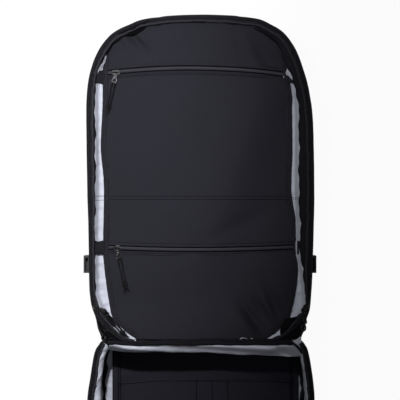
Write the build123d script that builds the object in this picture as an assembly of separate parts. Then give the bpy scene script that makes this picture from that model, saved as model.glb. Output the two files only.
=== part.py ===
"""Clamshell travel backpack, unzipped and laid open on its back.

The harness half points to +Y and the front half to -Y; both lie on the floor with their rims up, joined by a
fabric fold that runs along X. Millimetres, +Z up, origin under the middle of the open pack.
"""

import os
from math import radians, tan
from build123d import *

# Outline of each half, measured from the fold (v) and from the centre line (x).
TOP_HALF_WIDTH = 171.0
WAIST_HALF_WIDTH = 165.0
FOLD_HALF_WIDTH = 150.0
HALF_LENGTH = 490.0
TOP_RADIUS = 108.0
CORNER_RISE = 60.0
FOLD_GAP = 0.4

# Heights above the floor.
RIM_Z = 105.0
CHAIN_TOP = 104.0
GUSSET_TOP = 98.0
BACK_PAD_Z = 12.0
BACK_SHELL_Z = 24.0
LINING_Z = 80.0
FRONT_BASE_Z = 14.0
FRONT_LINING_Z = 19.0

# Cloth, webbing and foam.
WALL = 3.0
CLOTH = 1.8
GAP = 0.2
WEB = 20.0
WEB_THICK = 1.8
PAD_THICK = 11.0

# Zippers.
CHAIN_IN = 3.0
CHAIN_WIDTH = 6.0
CHAIN_START = 25.0
COIL_WIDTH = 6.0
TAPE_WIDTH = 16.0
CORD_RADIUS = 1.1
STRAND_GAP = 5.0

# Pockets on the harness half's inner panel.
PANEL_HALF_WIDTH = 147.0
PANEL_BINDING = 9.0
UPPER_ZIP_V = 405.0
LOWER_ZIP_V = 139.0
POCKET_SEAM_V = 220.6
ZIP_X0, ZIP_X1 = -132.0, 137.0

# Side straps.
SIDE_STRAP_V = 116.0
BUCKLE_WIDTH = 26.0
BUCKLE_THICK = 9.0
BUCKLE_LENGTH = 30.0

LAPTOP_ZIP_Z = 36.0

HANDLE_THICK = 5.0
BODY_REACH = HALF_LENGTH + 0.6 + HANDLE_THICK
FOLD_Y = (HALF_LENGTH - BODY_REACH) / 2

parts = {}


def side_x(v):
    """Half width of the outline on its straight, slightly tapered side."""
    share = (v - CORNER_RISE) / (HALF_LENGTH - TOP_RADIUS - CORNER_RISE)
    return WAIST_HALF_WIDTH + (TOP_HALF_WIDTH - WAIST_HALF_WIDTH) * share


def outline(inset=0.0):
    """The half's plan outline as a face, pulled in by inset."""
    flat = TOP_HALF_WIDTH - TOP_RADIUS
    shoulder = HALF_LENGTH - TOP_RADIUS
    lean = (TOP_HALF_WIDTH - WAIST_HALF_WIDTH, shoulder - CORNER_RISE)
    fold_r, waist_r = (FOLD_HALF_WIDTH, FOLD_GAP), (WAIST_HALF_WIDTH, CORNER_RISE)
    top_r, crown_r = (TOP_HALF_WIDTH, shoulder), (flat, HALF_LENGTH)
    fold_l, waist_l = (-fold_r[0], fold_r[1]), (-waist_r[0], waist_r[1])
    top_l, crown_l = (-top_r[0], top_r[1]), (-crown_r[0], crown_r[1])
    edges = [
        Line(fold_l, fold_r),
        TangentArc(waist_r, fold_r, tangent=(-lean[0], -lean[1])),
        Line(waist_r, top_r),
        TangentArc(top_r, crown_r, tangent=lean),
        Line(crown_r, crown_l),
        TangentArc(top_l, crown_l, tangent=(-lean[0], lean[1])),
        Line(top_l, waist_l),
        TangentArc(waist_l, fold_l, tangent=(lean[0], -lean[1])),
    ]
    face = make_face(Curve() + edges)
    return offset(face, -inset, kind=Kind.INTERSECTION) if inset else face


def block(x0, x1, v0, v1, z0, z1, corner=0.0):
    """A box between two corners, with its upright edges rounded."""
    solid = Box(x1 - x0, v1 - v0, z1 - z0)
    if corner:
        solid = fillet(solid.edges().filter_by(Axis.Z), corner)
    return Pos((x0 + x1) / 2, (v0 + v1) / 2, (z0 + z1) / 2) * solid


def slab(face, z0, z1):
    """A face at height 0 as a plate from z0 to z1."""
    return Pos(0, 0, z0) * extrude(face, z1 - z0)


def ring(outer, inner, z0, z1, v_min=None):
    """A wall that follows the outline between two insets, cut off below v_min."""
    wall = slab(outline(outer) - outline(inner), z0, z1)
    if v_min is None:
        return wall
    return wall & block(-300, 300, v_min, 600, z0 - 1, z1 + 1)


def both_sides(shape):
    """The shape and its mirror image across the centre line, as two solids."""
    return Compound([*shape.solids(), *mirror(shape, about=Plane.YZ).solids()])


def put(name, shape, half="body"):
    """Moves a shape from its half's own coordinates to the row frame and keeps it."""
    if half == "front":
        shape = mirror(shape, about=Plane.XZ)
    parts[name] = Pos(0, FOLD_Y, 0) * shape


# ---------------------------------------------------------------- harness half: back and frame
def make_back():
    put("back_panel_shell", slab(outline(), BACK_SHELL_Z, BACK_SHELL_Z + 2))
    pad = block(6, 135, 40, 420, BACK_PAD_Z, BACK_SHELL_Z - GAP, 24)
    put("back_pads", both_sides(pad))
    put("lumbar_pad", block(-50, 50, 60, 150, 0, BACK_PAD_Z - GAP, 18))
    put("strap_yoke", block(-125, 125, 395, 430, 0, BACK_PAD_Z - GAP, 12))
    put("frame_sheet", slab(outline(14), 26.2, 28.2))
    sleeve = block(-130, 130, 24, 420, 29, 61) - block(-125, 125, 30, 421, 35, 55)
    put("laptop_sleeve", sleeve)


def make_body_gusset():
    put("body_gusset", ring(0, WALL, BACK_SHELL_Z + 2 + GAP, GUSSET_TOP))
    tape = ring(0.2, CHAIN_IN + CHAIN_WIDTH, GUSSET_TOP, GUSSET_TOP + 1.5, CHAIN_START)
    coil = ring(CHAIN_IN, CHAIN_IN + CHAIN_WIDTH, GUSSET_TOP + 1.5, CHAIN_TOP, CHAIN_START)
    put("body_zip_chain", tape + coil)
    put("body_rim_binding", ring(5, 14, 95, GUSSET_TOP - GAP, 20))
    put("laptop_zip_chain", ring(-1.5, 0, LAPTOP_ZIP_Z - 4, LAPTOP_ZIP_Z + 4, 190))


# ---------------------------------------------------------------- harness half: inner panel
def panel_face(half_width):
    """Plan of the inner panel, narrower towards the fold."""
    rim = outline(8) & (Pos(0, 250) * Rectangle(2 * half_width, 600))
    right = [(half_width - 46, 5), (half_width - 15, 36), (half_width, 122), (half_width, 500)]
    left = [(-x, v) for x, v in reversed(right)]
    sides = make_face(Polyline(*right, *left, right[0]))
    return rim & sides


def across(face, v0, v1):
    """The part of a face between two distances from the fold."""
    return face & (Pos(0, (v0 + v1) / 2) * Rectangle(600, v1 - v0))


def make_inner_panel():
    put("main_lining", slab(outline(WALL + GAP), LINING_Z - CLOTH, LINING_Z))
    low, high = LINING_Z + GAP, LINING_Z + GAP + CLOTH
    panel = panel_face(PANEL_HALF_WIDTH)
    put("pocket_backing", slab(panel, low, high))
    inner = panel_face(PANEL_HALF_WIDTH - PANEL_BINDING)
    binding = across(panel - inner, 16, 455)
    strips = [s for s in slab(binding, high + GAP, high + 1.4).solids()]
    put("panel_side_bindings", Compound(strips))
    inside = panel_face(PANEL_HALF_WIDTH - PANEL_BINDING - GAP)
    half_tape = TAPE_WIDTH / 2
    upper = across(inside, POCKET_SEAM_V, UPPER_ZIP_V - half_tape - GAP)
    lower = across(inside, 8, LOWER_ZIP_V - half_tape - GAP)
    put("upper_pocket_face", slab(upper, high + GAP, high + 2))
    put("lower_pocket_face", slab(lower, high + GAP, high + 2))
    for name, v in (("upper", UPPER_ZIP_V), ("lower", LOWER_ZIP_V)):
        tape = block(ZIP_X0 - 5, ZIP_X1, v - half_tape, v + half_tape, high + GAP, high + 1.4)
        coil = block(ZIP_X0, ZIP_X1, v - COIL_WIDTH / 2, v + COIL_WIDTH / 2, high + 1.4, high + 3.4)
        put(f"{name}_zip_chain", tape + coil)
    tabs = []
    for v in (UPPER_ZIP_V, LOWER_ZIP_V):
        edge = side_x(v) - WALL - 1.6
        tab = block(PANEL_HALF_WIDTH + GAP, edge, v - 9, v + 9, low, low + 1.6)
        tabs += both_sides(tab & slab(outline(WALL + 1), 0, 200)).solids()
    put("panel_tabs", Compound(tabs))


# ---------------------------------------------------------------- zipper sliders and their pulls
SLIDER_Z = LINING_Z + GAP + CLOTH + 3.4 + 0.3
POCKET_PULL_Z = SLIDER_Z + 3.0
TAB_LENGTH = 13.0
KNOT_RADIUS = 3.4
KNOT_LENGTH = 9.0


def pocket_slider():
    """A slider over a coil that runs along X, centred on the origin, with a bail on top."""
    plate = block(-6, 6, -4.2, 4.2, 0, 1.8, 2)
    bail = block(-3.5, 3.5, -1, 1, 1.8, 5) - block(-2.2, 2.2, -2, 2, 1.8, 3.6)
    return plate + bail


def pull_tab():
    """A flared metal tab that hangs along -Y from the origin, with an eye for a cord."""
    end = -TAB_LENGTH
    plan = make_face(Polyline((-2.2, 0), (2.2, 0), (4.2, end), (-4.2, end), (-2.2, 0)))
    eye = Pos(0, end + 4.4) * Rectangle(4.4, 4.4)
    return slab(plan - eye, -0.8, 0.8)


def corner_radii(points):
    """The largest arc at each corner that leaves a tenth of the shorter run straight."""
    radii = []
    for before, here, after in zip(points, points[1:], points[2:]):
        arriving, leaving = Vector(*here) - Vector(*before), Vector(*after) - Vector(*here)
        half_turn = radians(arriving.get_angle(leaving)) / 2
        radii.append(round(0.45 * min(arriving.length, leaving.length) / tan(half_turn), 3))
    return radii


def cord_loop(name, reach):
    """A doubled cord along -Y: out from a tab's end, round inside the knot and back."""
    half, third = STRAND_GAP / 2, reach / 3.8
    points = [
        (-half, 0, 0), (-half - 0.7, -third, 0.3), (-half + 0.1, -2 * third, -0.2), (-half, -3 * third, 0),
        (-half, -reach, 0), (half, -reach, 0), (half, 0.3 - 3 * third, 0),
        (half - 0.3, 0.8 - 2 * third, 0.3), (half + 0.5, -third, -0.2), (half, 0, 0),
    ]
    radii = corner_radii(points)
    print(name, "cord corner radii", radii)
    route = FilletPolyline(*points, radius=radii)
    start = Plane(origin=points[0], z_dir=Vector(*points[1]) - Vector(*points[0]))
    return sweep(start * Circle(CORD_RADIUS), path=route)


def knot(reach):
    """A simple overhand knot as a short barrel beyond the loop's end."""
    middle = -reach - CORD_RADIUS - GAP - KNOT_LENGTH / 2
    return Pos(0, middle, 0) * Rot(90, 0, 0) * Cylinder(KNOT_RADIUS, KNOT_LENGTH)


MAIN_SLIDER_V = 50.0
MAIN_SLIDER_LENGTH = 14.0
MAIN_PULL_Z = 98.3

PULLS = {
    # name: (pivot x, pivot v, pivot z, turn in degrees from -Y, cord reach)
    "upper": (-127.5, UPPER_ZIP_V - 1.5, POCKET_PULL_Z, -12.5, 33.0),
    "lower": (-125.0, LOWER_ZIP_V - 1.5, POCKET_PULL_Z, 12.0, 35.0),
    "main_left": (3.4 - side_x(MAIN_SLIDER_V) + 13.6, MAIN_SLIDER_V - 1.0, MAIN_PULL_Z, 41.0, 30.0),
}


def make_pulls():
    for name, (x, v, z, turn, reach) in PULLS.items():
        at = Pos(x, v, z) * Rot(0, 0, turn)
        put(f"{name}_pull_tab", at * (Pos(0, -0.6, 0) * pull_tab()))
        loop = Pos(0, -0.6 - TAB_LENGTH - 0.4, 0)
        put(f"{name}_pull_cord", at * (loop * cord_loop(name, reach)))
        put(f"{name}_pull_knot", at * (loop * knot(reach)))


def make_pocket_sliders():
    for name, v in (("upper", UPPER_ZIP_V), ("lower", LOWER_ZIP_V)):
        x = PULLS[name][0]
        put(f"{name}_zip_slider", Pos(x, v + 1.2, SLIDER_Z) * pocket_slider())


def make_main_sliders():
    """Saddles over the rim chain: two plates joined by a thin bridge between the two rims."""
    x = side_x(MAIN_SLIDER_V) - 0.8
    half = MAIN_SLIDER_LENGTH / 2
    low, high = GUSSET_TOP + 1.7, 2 * RIM_Z - GUSSET_TOP - 1.7
    outer = block(-x - 2.6, -x - 1.0, -half, half, low, high)
    inner = block(10.4 - x, 12.2 - x, -half, half, GUSSET_TOP + GAP, high)
    bridge = block(-x - 2.6, 12.2 - x, -3, 3, CHAIN_TOP + 0.3, 2 * RIM_Z - CHAIN_TOP - 0.3)
    saddle = outer + inner + bridge
    bail = block(12.2 - x, 15.6 - x, -2, 2, GUSSET_TOP + GAP, GUSSET_TOP + 3)
    put("main_slider_left", Pos(0, MAIN_SLIDER_V, 0) * (saddle + bail))
    put("main_slider_right", Pos(0, MAIN_SLIDER_V, 0) * mirror(saddle, about=Plane.YZ))
    grip = block(x + 2.8, x + 4.6, -26, 0, 100.5, 109.5) - block(x, x + 9, -23, -9, 103, 107)
    put("main_right_pull_ring", Pos(0, MAIN_SLIDER_V, 0) * grip)


LAPTOP_SLIDER_V = 236.0


def make_laptop_slider():
    x = side_x(LAPTOP_SLIDER_V)
    plate = block(-x - 4.4, -x - 2.2, -7, 7, LAPTOP_ZIP_Z - 4.5, LAPTOP_ZIP_Z + 4.5)
    tab = block(-x - 5.8, -x - 4.4, -26, -2, LAPTOP_ZIP_Z - 3, LAPTOP_ZIP_Z + 3)
    put("laptop_zip_slider", Pos(0, LAPTOP_SLIDER_V, 0) * (plate + tab))


# ---------------------------------------------------------------- carrying and side straps
def make_handle_and_side_straps():
    grip = block(-62, 62, HALF_LENGTH + 0.6, BODY_REACH, 48, 76)
    ends = block(-86, 86, HALF_LENGTH + 0.6, HALF_LENGTH + 2.6, 52, 72)
    put("top_handle", grip + ends)
    half = WEB / 2
    v0, v1 = SIDE_STRAP_V - BUCKLE_WIDTH / 2, SIDE_STRAP_V + BUCKLE_WIDTH / 2
    edge = side_x(v1) + GAP
    web = block(edge, edge + WEB_THICK, SIDE_STRAP_V - half, SIDE_STRAP_V + half, 30, 66)
    anchor = block(79, 99, 30, 58, 6, BACK_PAD_Z - GAP)
    put("body_webbing", both_sides(web + anchor))
    buckle = block(edge, edge + BUCKLE_THICK, v0, v1, 66.2, 66.2 + BUCKLE_LENGTH)
    buckle -= block(edge + 2.5, edge + 6.5, v0 + 3, v1 - 3, 80, 100)
    put("body_side_buckles", both_sides(buckle))
    prong = block(edge + 3.4, edge + 5.8, SIDE_STRAP_V - 8, SIDE_STRAP_V + 8, 80, 97)
    stem = block(edge + 2, edge + 8, SIDE_STRAP_V - 11, SIDE_STRAP_V + 11, 68, 80)
    put("front_side_buckles", both_sides(prong + stem), "front")
    front_web = block(edge, edge + WEB_THICK, SIDE_STRAP_V - half, SIDE_STRAP_V + half, 24, 78)
    put("front_side_webbing", both_sides(front_web), "front")


# ---------------------------------------------------------------- shoulder straps
STRAP_X0, STRAP_X1 = 58.0, 120.0
STRAP_V0, STRAP_V1 = 150.0, 394.4
STERNUM_V = 300.0


def make_shoulder_straps():
    middle = (STRAP_X0 + STRAP_X1) / 2
    half = WEB / 2
    pad = block(STRAP_X0, STRAP_X1, STRAP_V0, STRAP_V1, 0.5, 0.5 + PAD_THICK, 16)
    web = block(middle - half, middle + half, 77, 128, 4, 4 + WEB_THICK)
    lock = block(middle - 14, middle + 14, 128.2, 149.8, 2.5, 8.5)
    hook = block(middle - 13, middle + 13, 60, 76.8, 2.5, 8)
    for v0, v1 in ((131, 136), (140, 145)):
        lock -= block(middle - 10.5, middle + 10.5, v0, v1, 0, 20)
    hook -= block(middle - 10.5, middle + 10.5, 63, 67, 0, 20)
    hardware = Compound([*lock.solids(), *hook.solids()])
    strap = block(29.8, STRAP_X0 - GAP, STERNUM_V - half, STERNUM_V + half, 4, 4 + WEB_THICK)
    socket = block(8, 29.8, STERNUM_V - 13, STERNUM_V + 13, 2, 9)
    socket -= block(7, 20, STERNUM_V - 9, STERNUM_V + 9, 3.6, 7.4)
    prong = block(18, 29.8, STERNUM_V - 11, STERNUM_V + 11, 2, 9)
    prong += block(8, 18, STERNUM_V - 7.5, STERNUM_V + 7.5, 4.2, 6.8)
    for side, clip in (("left", socket), ("right", prong)):
        pieces = {
            "strap_pad": pad, "strap_webbing": web, "strap_hardware": hardware,
            "sternum_strap": strap + clip,
        }
        for name, shape in pieces.items():
            shape = mirror(shape, about=Plane.YZ) if side == "left" else shape
            put(f"{side}_{name}", shape)


# ---------------------------------------------------------------- fold between the halves
PIPING_RADIUS = 1.6
FOLD_TRIM = 10.0
BAND_TRIM = 46.0


def make_fold():
    half = FOLD_HALF_WIDTH - FOLD_TRIM
    band_half = FOLD_HALF_WIDTH - BAND_TRIM
    band = block(-band_half, band_half, PIPING_RADIUS + 0.4, 4, GUSSET_TOP + GAP, 102.4)
    band += block(-band_half, band_half, 4, 12, GUSSET_TOP + GAP, 100.4)
    web = block(-half, half, PIPING_RADIUS + 0.4, 4, GUSSET_TOP + GAP, 102.4)
    lining = block(-half, half, 4, 22, GUSSET_TOP + GAP, 100.4)
    put("fold_piping", Pos(0, 0, RIM_Z) * Rot(0, 90, 0) * Cylinder(PIPING_RADIUS, 2 * half))
    put("body_fold_band", band)
    put("front_fold_lining", web + lining, "front")


# ---------------------------------------------------------------- front half
def make_front():
    put("front_base", slab(outline(), FRONT_BASE_Z, FRONT_BASE_Z + WALL), "front")
    put("front_gusset", ring(0, WALL, FRONT_BASE_Z + WALL + GAP, GUSSET_TOP), "front")
    low = FRONT_LINING_Z - CLOTH + GAP
    put("front_lining", slab(outline(WALL + GAP), low, FRONT_LINING_Z), "front")
    piping = ring(WALL + 0.4, 10, FRONT_LINING_Z + GAP, FRONT_LINING_Z + 5)
    put("front_bound_seam", piping, "front")
    tape = ring(0.2, CHAIN_IN + CHAIN_WIDTH, GUSSET_TOP, GUSSET_TOP + 1.5, CHAIN_START)
    coil = ring(CHAIN_IN, CHAIN_IN + CHAIN_WIDTH, GUSSET_TOP + 1.5, CHAIN_TOP, CHAIN_START)
    put("front_zip_chain", tape + coil, "front")
    sheet = outline(12) & (Pos(0, 250) * Rectangle(2 * 145, 470))
    z = FRONT_LINING_Z + GAP
    put("organizer_panel", slab(sheet, z, z + CLOTH), "front")
    pocket = block(-128, 128, 68, 240, z + CLOTH + GAP, z + 2 * CLOTH + GAP, 10)
    put("organizer_pocket", pocket, "front")
    bag = outline(18) & (Pos(0, 235) * Rectangle(400, 410))
    put("front_pocket", slab(bag, 0, FRONT_BASE_Z - GAP), "front")
    put("front_pocket_zip_chain", block(-96, 96, 440.2, 442.0, 2.5, 10.5), "front")
    slider = block(-94, -82, 442.3, 444.6, 2.2, 10.8) + block(-82, -62, 443.2, 444.6, 4, 9)
    put("front_pocket_zip_slider", slider, "front")


def main():
    make_back()
    make_body_gusset()
    make_inner_panel()
    make_pulls()
    make_pocket_sliders()
    make_main_sliders()
    make_laptop_slider()
    make_handle_and_side_straps()
    make_shoulder_straps()
    make_fold()
    make_front()
    os.makedirs("parts", exist_ok=True)
    for name, shape in parts.items():
        export_step(shape, f"parts/{name}.step")


main()
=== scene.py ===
"""Looks of the open travel backpack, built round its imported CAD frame.

Helper sizes are millimetres: x across, v from the fold (positive on the harness half, negative on the front
half) and z up from the floor. Every piece is turned into metres in the shared frame when its mesh is made.
"""

from math import cos, pi, radians, sin

import bmesh
import bpy
import numpy as np
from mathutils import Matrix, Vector


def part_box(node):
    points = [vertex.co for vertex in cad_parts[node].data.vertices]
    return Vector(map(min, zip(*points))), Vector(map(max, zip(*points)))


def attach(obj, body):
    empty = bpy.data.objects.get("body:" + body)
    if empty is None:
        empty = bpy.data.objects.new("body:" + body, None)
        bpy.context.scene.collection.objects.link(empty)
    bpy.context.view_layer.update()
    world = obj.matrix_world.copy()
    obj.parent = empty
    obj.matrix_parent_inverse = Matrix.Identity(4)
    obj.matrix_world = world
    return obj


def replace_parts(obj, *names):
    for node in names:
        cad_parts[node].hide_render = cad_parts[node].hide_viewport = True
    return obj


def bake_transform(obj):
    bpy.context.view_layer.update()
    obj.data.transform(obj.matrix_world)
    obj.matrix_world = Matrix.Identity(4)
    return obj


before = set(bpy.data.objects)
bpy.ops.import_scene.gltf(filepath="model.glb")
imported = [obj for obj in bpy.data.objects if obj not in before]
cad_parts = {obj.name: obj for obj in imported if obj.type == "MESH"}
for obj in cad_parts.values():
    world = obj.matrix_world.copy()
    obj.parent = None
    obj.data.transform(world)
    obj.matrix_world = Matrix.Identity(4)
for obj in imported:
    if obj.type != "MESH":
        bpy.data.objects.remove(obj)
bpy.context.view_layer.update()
fold_low, fold_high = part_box("fold_piping")
FOLD_Y = (fold_low.y + fold_high.y) * 500
OFFSET = np.array([0.0, FOLD_Y, 0.0])
RIM_Z = (fold_low.z + fold_high.z) * 500
BODY, FRONT = "harness_half", "front_half"
CHAIN_PITCH = 2.1
SETTLING_FRAMES, PAD_PRESSURE, PAD_SHIFT = 20, 4.0, 5.0
WEB_WIDTH, WEB_THICKNESS = 19, 1.7


# ---------------------------------------------------------------- materials
def srgb(r, g, b):
    """A linear colour from 0 to 255 display values."""
    linear = [((c / 255 + 0.055) / 1.055) ** 2.4 if c > 10 else c / 255 / 12.92 for c in (r, g, b)]
    return (*linear, 1.0)


class Shader:
    """A node material that is built step by step."""

    def __init__(self, name):
        self.material = bpy.data.materials.new(name)
        self.material.use_nodes = True
        self.tree = self.material.node_tree
        self.tree.nodes.clear()
        self.surface = self.add("ShaderNodeBsdfPrincipled")
        out = self.add("ShaderNodeOutputMaterial")
        self.put(self.surface.outputs[0], out.inputs["Surface"])
        self.coordinates = self.add("ShaderNodeTexCoord").outputs["Object"]

    def add(self, kind, **values):
        node = self.tree.nodes.new(kind)
        for key, value in values.items():
            setattr(node, key, value)
        return node

    def put(self, value, socket):
        """Links another node's output to the socket, or stores a fixed value in it."""
        if isinstance(value, bpy.types.NodeSocket):
            self.tree.links.new(value, socket)
        else:
            socket.default_value = value

    def math(self, operation, *values, clamp=False):
        node = self.add("ShaderNodeMath", operation=operation, use_clamp=clamp)
        for socket, value in zip(node.inputs, values):
            self.put(value, socket)
        return node.outputs[0]

    def noise(self, size, detail=2.0, rough=0.5):
        """Noise whose features are about size millimetres."""
        node = self.add("ShaderNodeTexNoise")
        node.inputs["Scale"].default_value = 1000 / size
        node.inputs["Detail"].default_value = detail
        node.inputs["Roughness"].default_value = rough
        self.put(self.coordinates, node.inputs["Vector"])
        return node.outputs["Fac"]

    def contrast(self, value, gain, middle=0.5):
        """The value stretched about its middle and kept between 0 and 1."""
        return self.math("MULTIPLY_ADD", value, gain, 0.5 - gain * middle, clamp=True)

    def waves(self, pitch, axes="XYZ"):
        """Sine ridges of one pitch in millimetres, one output for each asked axis."""
        split = self.add("ShaderNodeSeparateXYZ")
        self.put(self.coordinates, split.inputs[0])
        scale = 2 * pi * 1000 / pitch
        return [self.math("SINE", self.math("MULTIPLY", split.outputs[axis], scale)) for axis in axes]

    def weave(self, pitch, flat=False):
        """A plain weave that shows on faces of any direction, or only from above where it is flat."""
        x, y, z = self.waves(pitch)
        if flat:
            return self.math("MULTIPLY", x, y)
        xy, yz, zx = (self.math("MULTIPLY", a, b) for a, b in ((x, y), (y, z), (z, x)))
        return self.math("ADD", self.math("ADD", xy, yz), zx)

    def bump(self, height, depth, normal=None):
        """A bump whose height field is depth millimetres high."""
        node = self.add("ShaderNodeBump")
        node.inputs["Distance"].default_value = depth / 1000
        self.put(height, node.inputs["Height"])
        if normal:
            self.put(normal, node.inputs["Normal"])
        return node.outputs["Normal"]

    def mix(self, low, high, factor):
        """Makes the base colour turn from low to high as factor rises."""
        node = self.add("ShaderNodeMix", data_type="RGBA")
        for key, value in (("A", low), ("B", high), ("Factor", factor)):
            self.put(value, node.inputs[key])
        self.put(node.outputs["Result"], self.surface.inputs["Base Color"])

    def tint(self, colour, factor, spread):
        """Makes the base colour darker and lighter by factor, within spread."""
        low = [c * (1 - spread) for c in colour[:3]] + [1]
        high = [min(1, c * (1 + spread)) for c in colour[:3]] + [1]
        self.mix(low, high, factor)

    def set(self, **values):
        for key, value in values.items():
            self.put(value, self.surface.inputs[key.replace("_", " ")])


def cloth(name, colour, pitch, weave, grain, crease, rough, gloss, sheen=0.0, wear=0.1, flat=False):
    """Woven cloth: thread weave, fine colour grain, broad fading and soft small creases."""
    s = Shader(name)
    fine = s.contrast(s.noise(1.5, 2.0, 0.7), 1.8)
    broad = s.contrast(s.noise(55, 3.0), 1.5)
    mixed = s.math("ADD", s.math("MULTIPLY", fine, 1 - wear), s.math("MULTIPLY", broad, wear))
    s.tint(srgb(*colour), mixed, grain)
    normal = s.bump(s.weave(pitch, flat), weave)
    if crease:
        normal = s.bump(s.noise(14, 3.0, 0.55), crease, normal)
    roughness = s.math("MULTIPLY_ADD", broad, 0.1, rough - 0.05)
    s.set(Normal=normal, Roughness=roughness, Specular_IOR_Level=gloss)
    s.set(Sheen_Weight=sheen, Sheen_Roughness=0.5)
    return s.material


def ribbed(name, colour, pitch, axis, depth):
    """Webbing or zipper tape with ribs across one axis and a fine yarn weave."""
    s = Shader(name)
    rib = s.waves(pitch, axis)[0]
    fine = s.contrast(s.noise(1.2, 2.0, 0.7), 1.8)
    # Painted shade: the ribs' colour is lighter on their crests and darker in their grooves, mixed with a fine
    # random yarn grain.
    rib_shade_and_grain = s.math("ADD", s.math("MULTIPLY", rib, 0.25), s.math("MULTIPLY", fine, 0.75))
    s.tint(srgb(*colour), rib_shade_and_grain, 0.2)
    normal = s.bump(rib, depth, s.bump(s.weave(0.7), 0.05))
    s.set(Normal=normal, Roughness=0.75, Sheen_Weight=0.0, Specular_IOR_Level=0.1)
    return s.material


def moulded(name, colour, rough, texture, metal=0.0):
    """Moulded plastic or bright metal with a fine skin texture, rubbed patches and uneven gloss."""
    s = Shader(name)
    patch = s.contrast(s.noise(6, 3.0), 2.0)
    s.tint(srgb(*colour), patch, 0.25)
    skin = s.bump(s.noise(0.6, 2.0), texture)
    roughness = s.math("MULTIPLY_ADD", patch, 0.2, rough - 0.1)
    s.set(Normal=skin, Roughness=roughness, Metallic=metal, Specular_IOR_Level=0.3)
    return s.material


def metal_with_painted_glints(name, colour, bright):
    """Dark plated metal with small bright flecks painted into its colour as glints."""
    s = Shader(name)
    # Painted glints: sharp noise turns the dark colour to the bright one in small flecks.
    s.mix(srgb(*colour), srgb(*bright), s.contrast(s.noise(2.2, 2.0, 0.6), 9.0, middle=19 / 30))
    s.set(Normal=s.bump(s.noise(0.6, 2.0), 0.05), Roughness=0.42, Metallic=0.2, Specular_IOR_Level=0.2)
    return s.material


def air_mesh(name, colour):
    """Spacer mesh: round holes in a soft knit."""
    s = Shader(name)
    cells = s.add("ShaderNodeTexVoronoi")
    cells.inputs["Scale"].default_value = 1000 / 3.2
    cells.inputs["Randomness"].default_value = 0.25
    s.put(s.coordinates, cells.inputs["Vector"])
    hole = s.contrast(cells.outputs["Distance"], 2.2)
    # Painted shade: the holes are coloured darker than the knit round them.
    s.tint(srgb(*colour), hole, 0.55)
    s.set(Normal=s.bump(hole, 0.7, s.bump(s.weave(0.8), 0.05)), Roughness=0.9, Sheen_Weight=0.2)
    return s.material


# Cloths: colour, thread pitch, weave depth, colour grain, crease depth, roughness, gloss.
PANEL = cloth("panel_cloth", (37, 37, 44), 0.7, 0.03, 0.28, 0.12, 0.78, 0.08, wear=0.25, flat=True)
FRONT_CLOTH = cloth("organiser_cloth", (36, 36, 44), 0.7, 0.03, 0.3, 0.15, 0.78, 0.08, flat=True)
SHELL = cloth("shell_cloth", (52, 52, 58), 1.0, 0.08, 0.25, 0.35, 0.75, 0.08, sheen=0.02)
LINING = cloth("lining_cloth", (192, 195, 208), 1.6, 0.05, 0.05, 0.9, 0.6, 0.25, sheen=0.02)
SATIN = cloth("lining_satin", (186, 189, 202), 1.6, 0.05, 0.05, 1.6, 0.42, 0.5, sheen=0.02)
BINDING = cloth("binding_tape", (36, 36, 42), 1.1, 0.1, 0.3, 0, 0.75, 0.1)
DARK_BINDING = cloth("dark_binding_tape", (33, 33, 38), 1.1, 0.15, 0.3, 0.3, 0.78, 0.06)
# Near-black tape for the lower corners; also laid in the gaps by the rim at the top corners as painted shade.
BLACK_TAPE_AND_GAP_SHADE = cloth("corner_tape", (13, 13, 16), 1.1, 0.15, 0.35, 0.4, 0.6, 0.08)
# A lighter copy of the dark binding tape: painted highlight of the lit piping along the rim.
PIPING_HIGHLIGHT = cloth("piping_painted_highlight", (52, 52, 58), 1.1, 0.15, 0.3, 0.3, 0.7, 0.1)
# Near-black thread for stitches; also the colour of strips of painted shade in grooves and along stitch lines.
THREAD_AND_GROOVE_SHADE = cloth("dark_thread_and_groove_shade", (8, 8, 10), 0.4, 0.08, 0.16, 0, 0.6, 0.05)
SEWN = cloth("sewing_thread", (74, 74, 82), 0.4, 0.08, 0.16, 0, 0.5, 0.2)
CORD = cloth("braided_cord", (30, 30, 34), 0.9, 0.35, 0.35, 0, 0.5, 0.25)
TAPE = ribbed("zip_tape", (38, 38, 44), 1.2, "Y", 0.08)
SIDE_TAPE = ribbed("zip_tape_across", (60, 60, 66), 1.2, "X", 0.08)
WEBBING = ribbed("webbing", (38, 38, 43), 1.6, "Y", 0.3)
WEBBING_ACROSS = ribbed("webbing_across", (38, 38, 43), 1.6, "X", 0.3)
COIL = moulded("zip_coil", (30, 30, 34), 0.35, 0.02)
PALE_METAL = moulded("bright_wire", (196, 196, 204), 0.3, 0.02, metal=0.6)
PLASTIC = moulded("buckle_plastic", (38, 37, 42), 0.45, 0.05)
STIFFENER = moulded("stiffener_sheet", (206, 206, 200), 0.6, 0.1)
# Near-black metal with painted glints: small bright flecks in its colour.
METAL = metal_with_painted_glints("gunmetal", (11, 11, 13), (118, 118, 124))
MESH = air_mesh("air_mesh", (62, 63, 70))


# ---------------------------------------------------------------- shape helpers
def spline(points, per_span=12):
    """A smooth line through given points; extra columns, such as a width, are carried along."""
    p = np.array(points, float)
    p = np.vstack([2 * p[0] - p[1], p, 2 * p[-1] - p[-2]])
    t = np.linspace(0, 1, per_span, endpoint=False)[:, None]
    spans = []
    for a, b, c, d in zip(p, p[1:], p[2:], p[3:]):
        spans.append(
            b
            + 0.5 * t * (c - a)
            + t**2 * (a - 2.5 * b + 2 * c - 0.5 * d)
            + 0.5 * t**3 * (3 * b - a - 3 * c + d)
        )
    return np.vstack([*spans, p[-2][None]])


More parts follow.
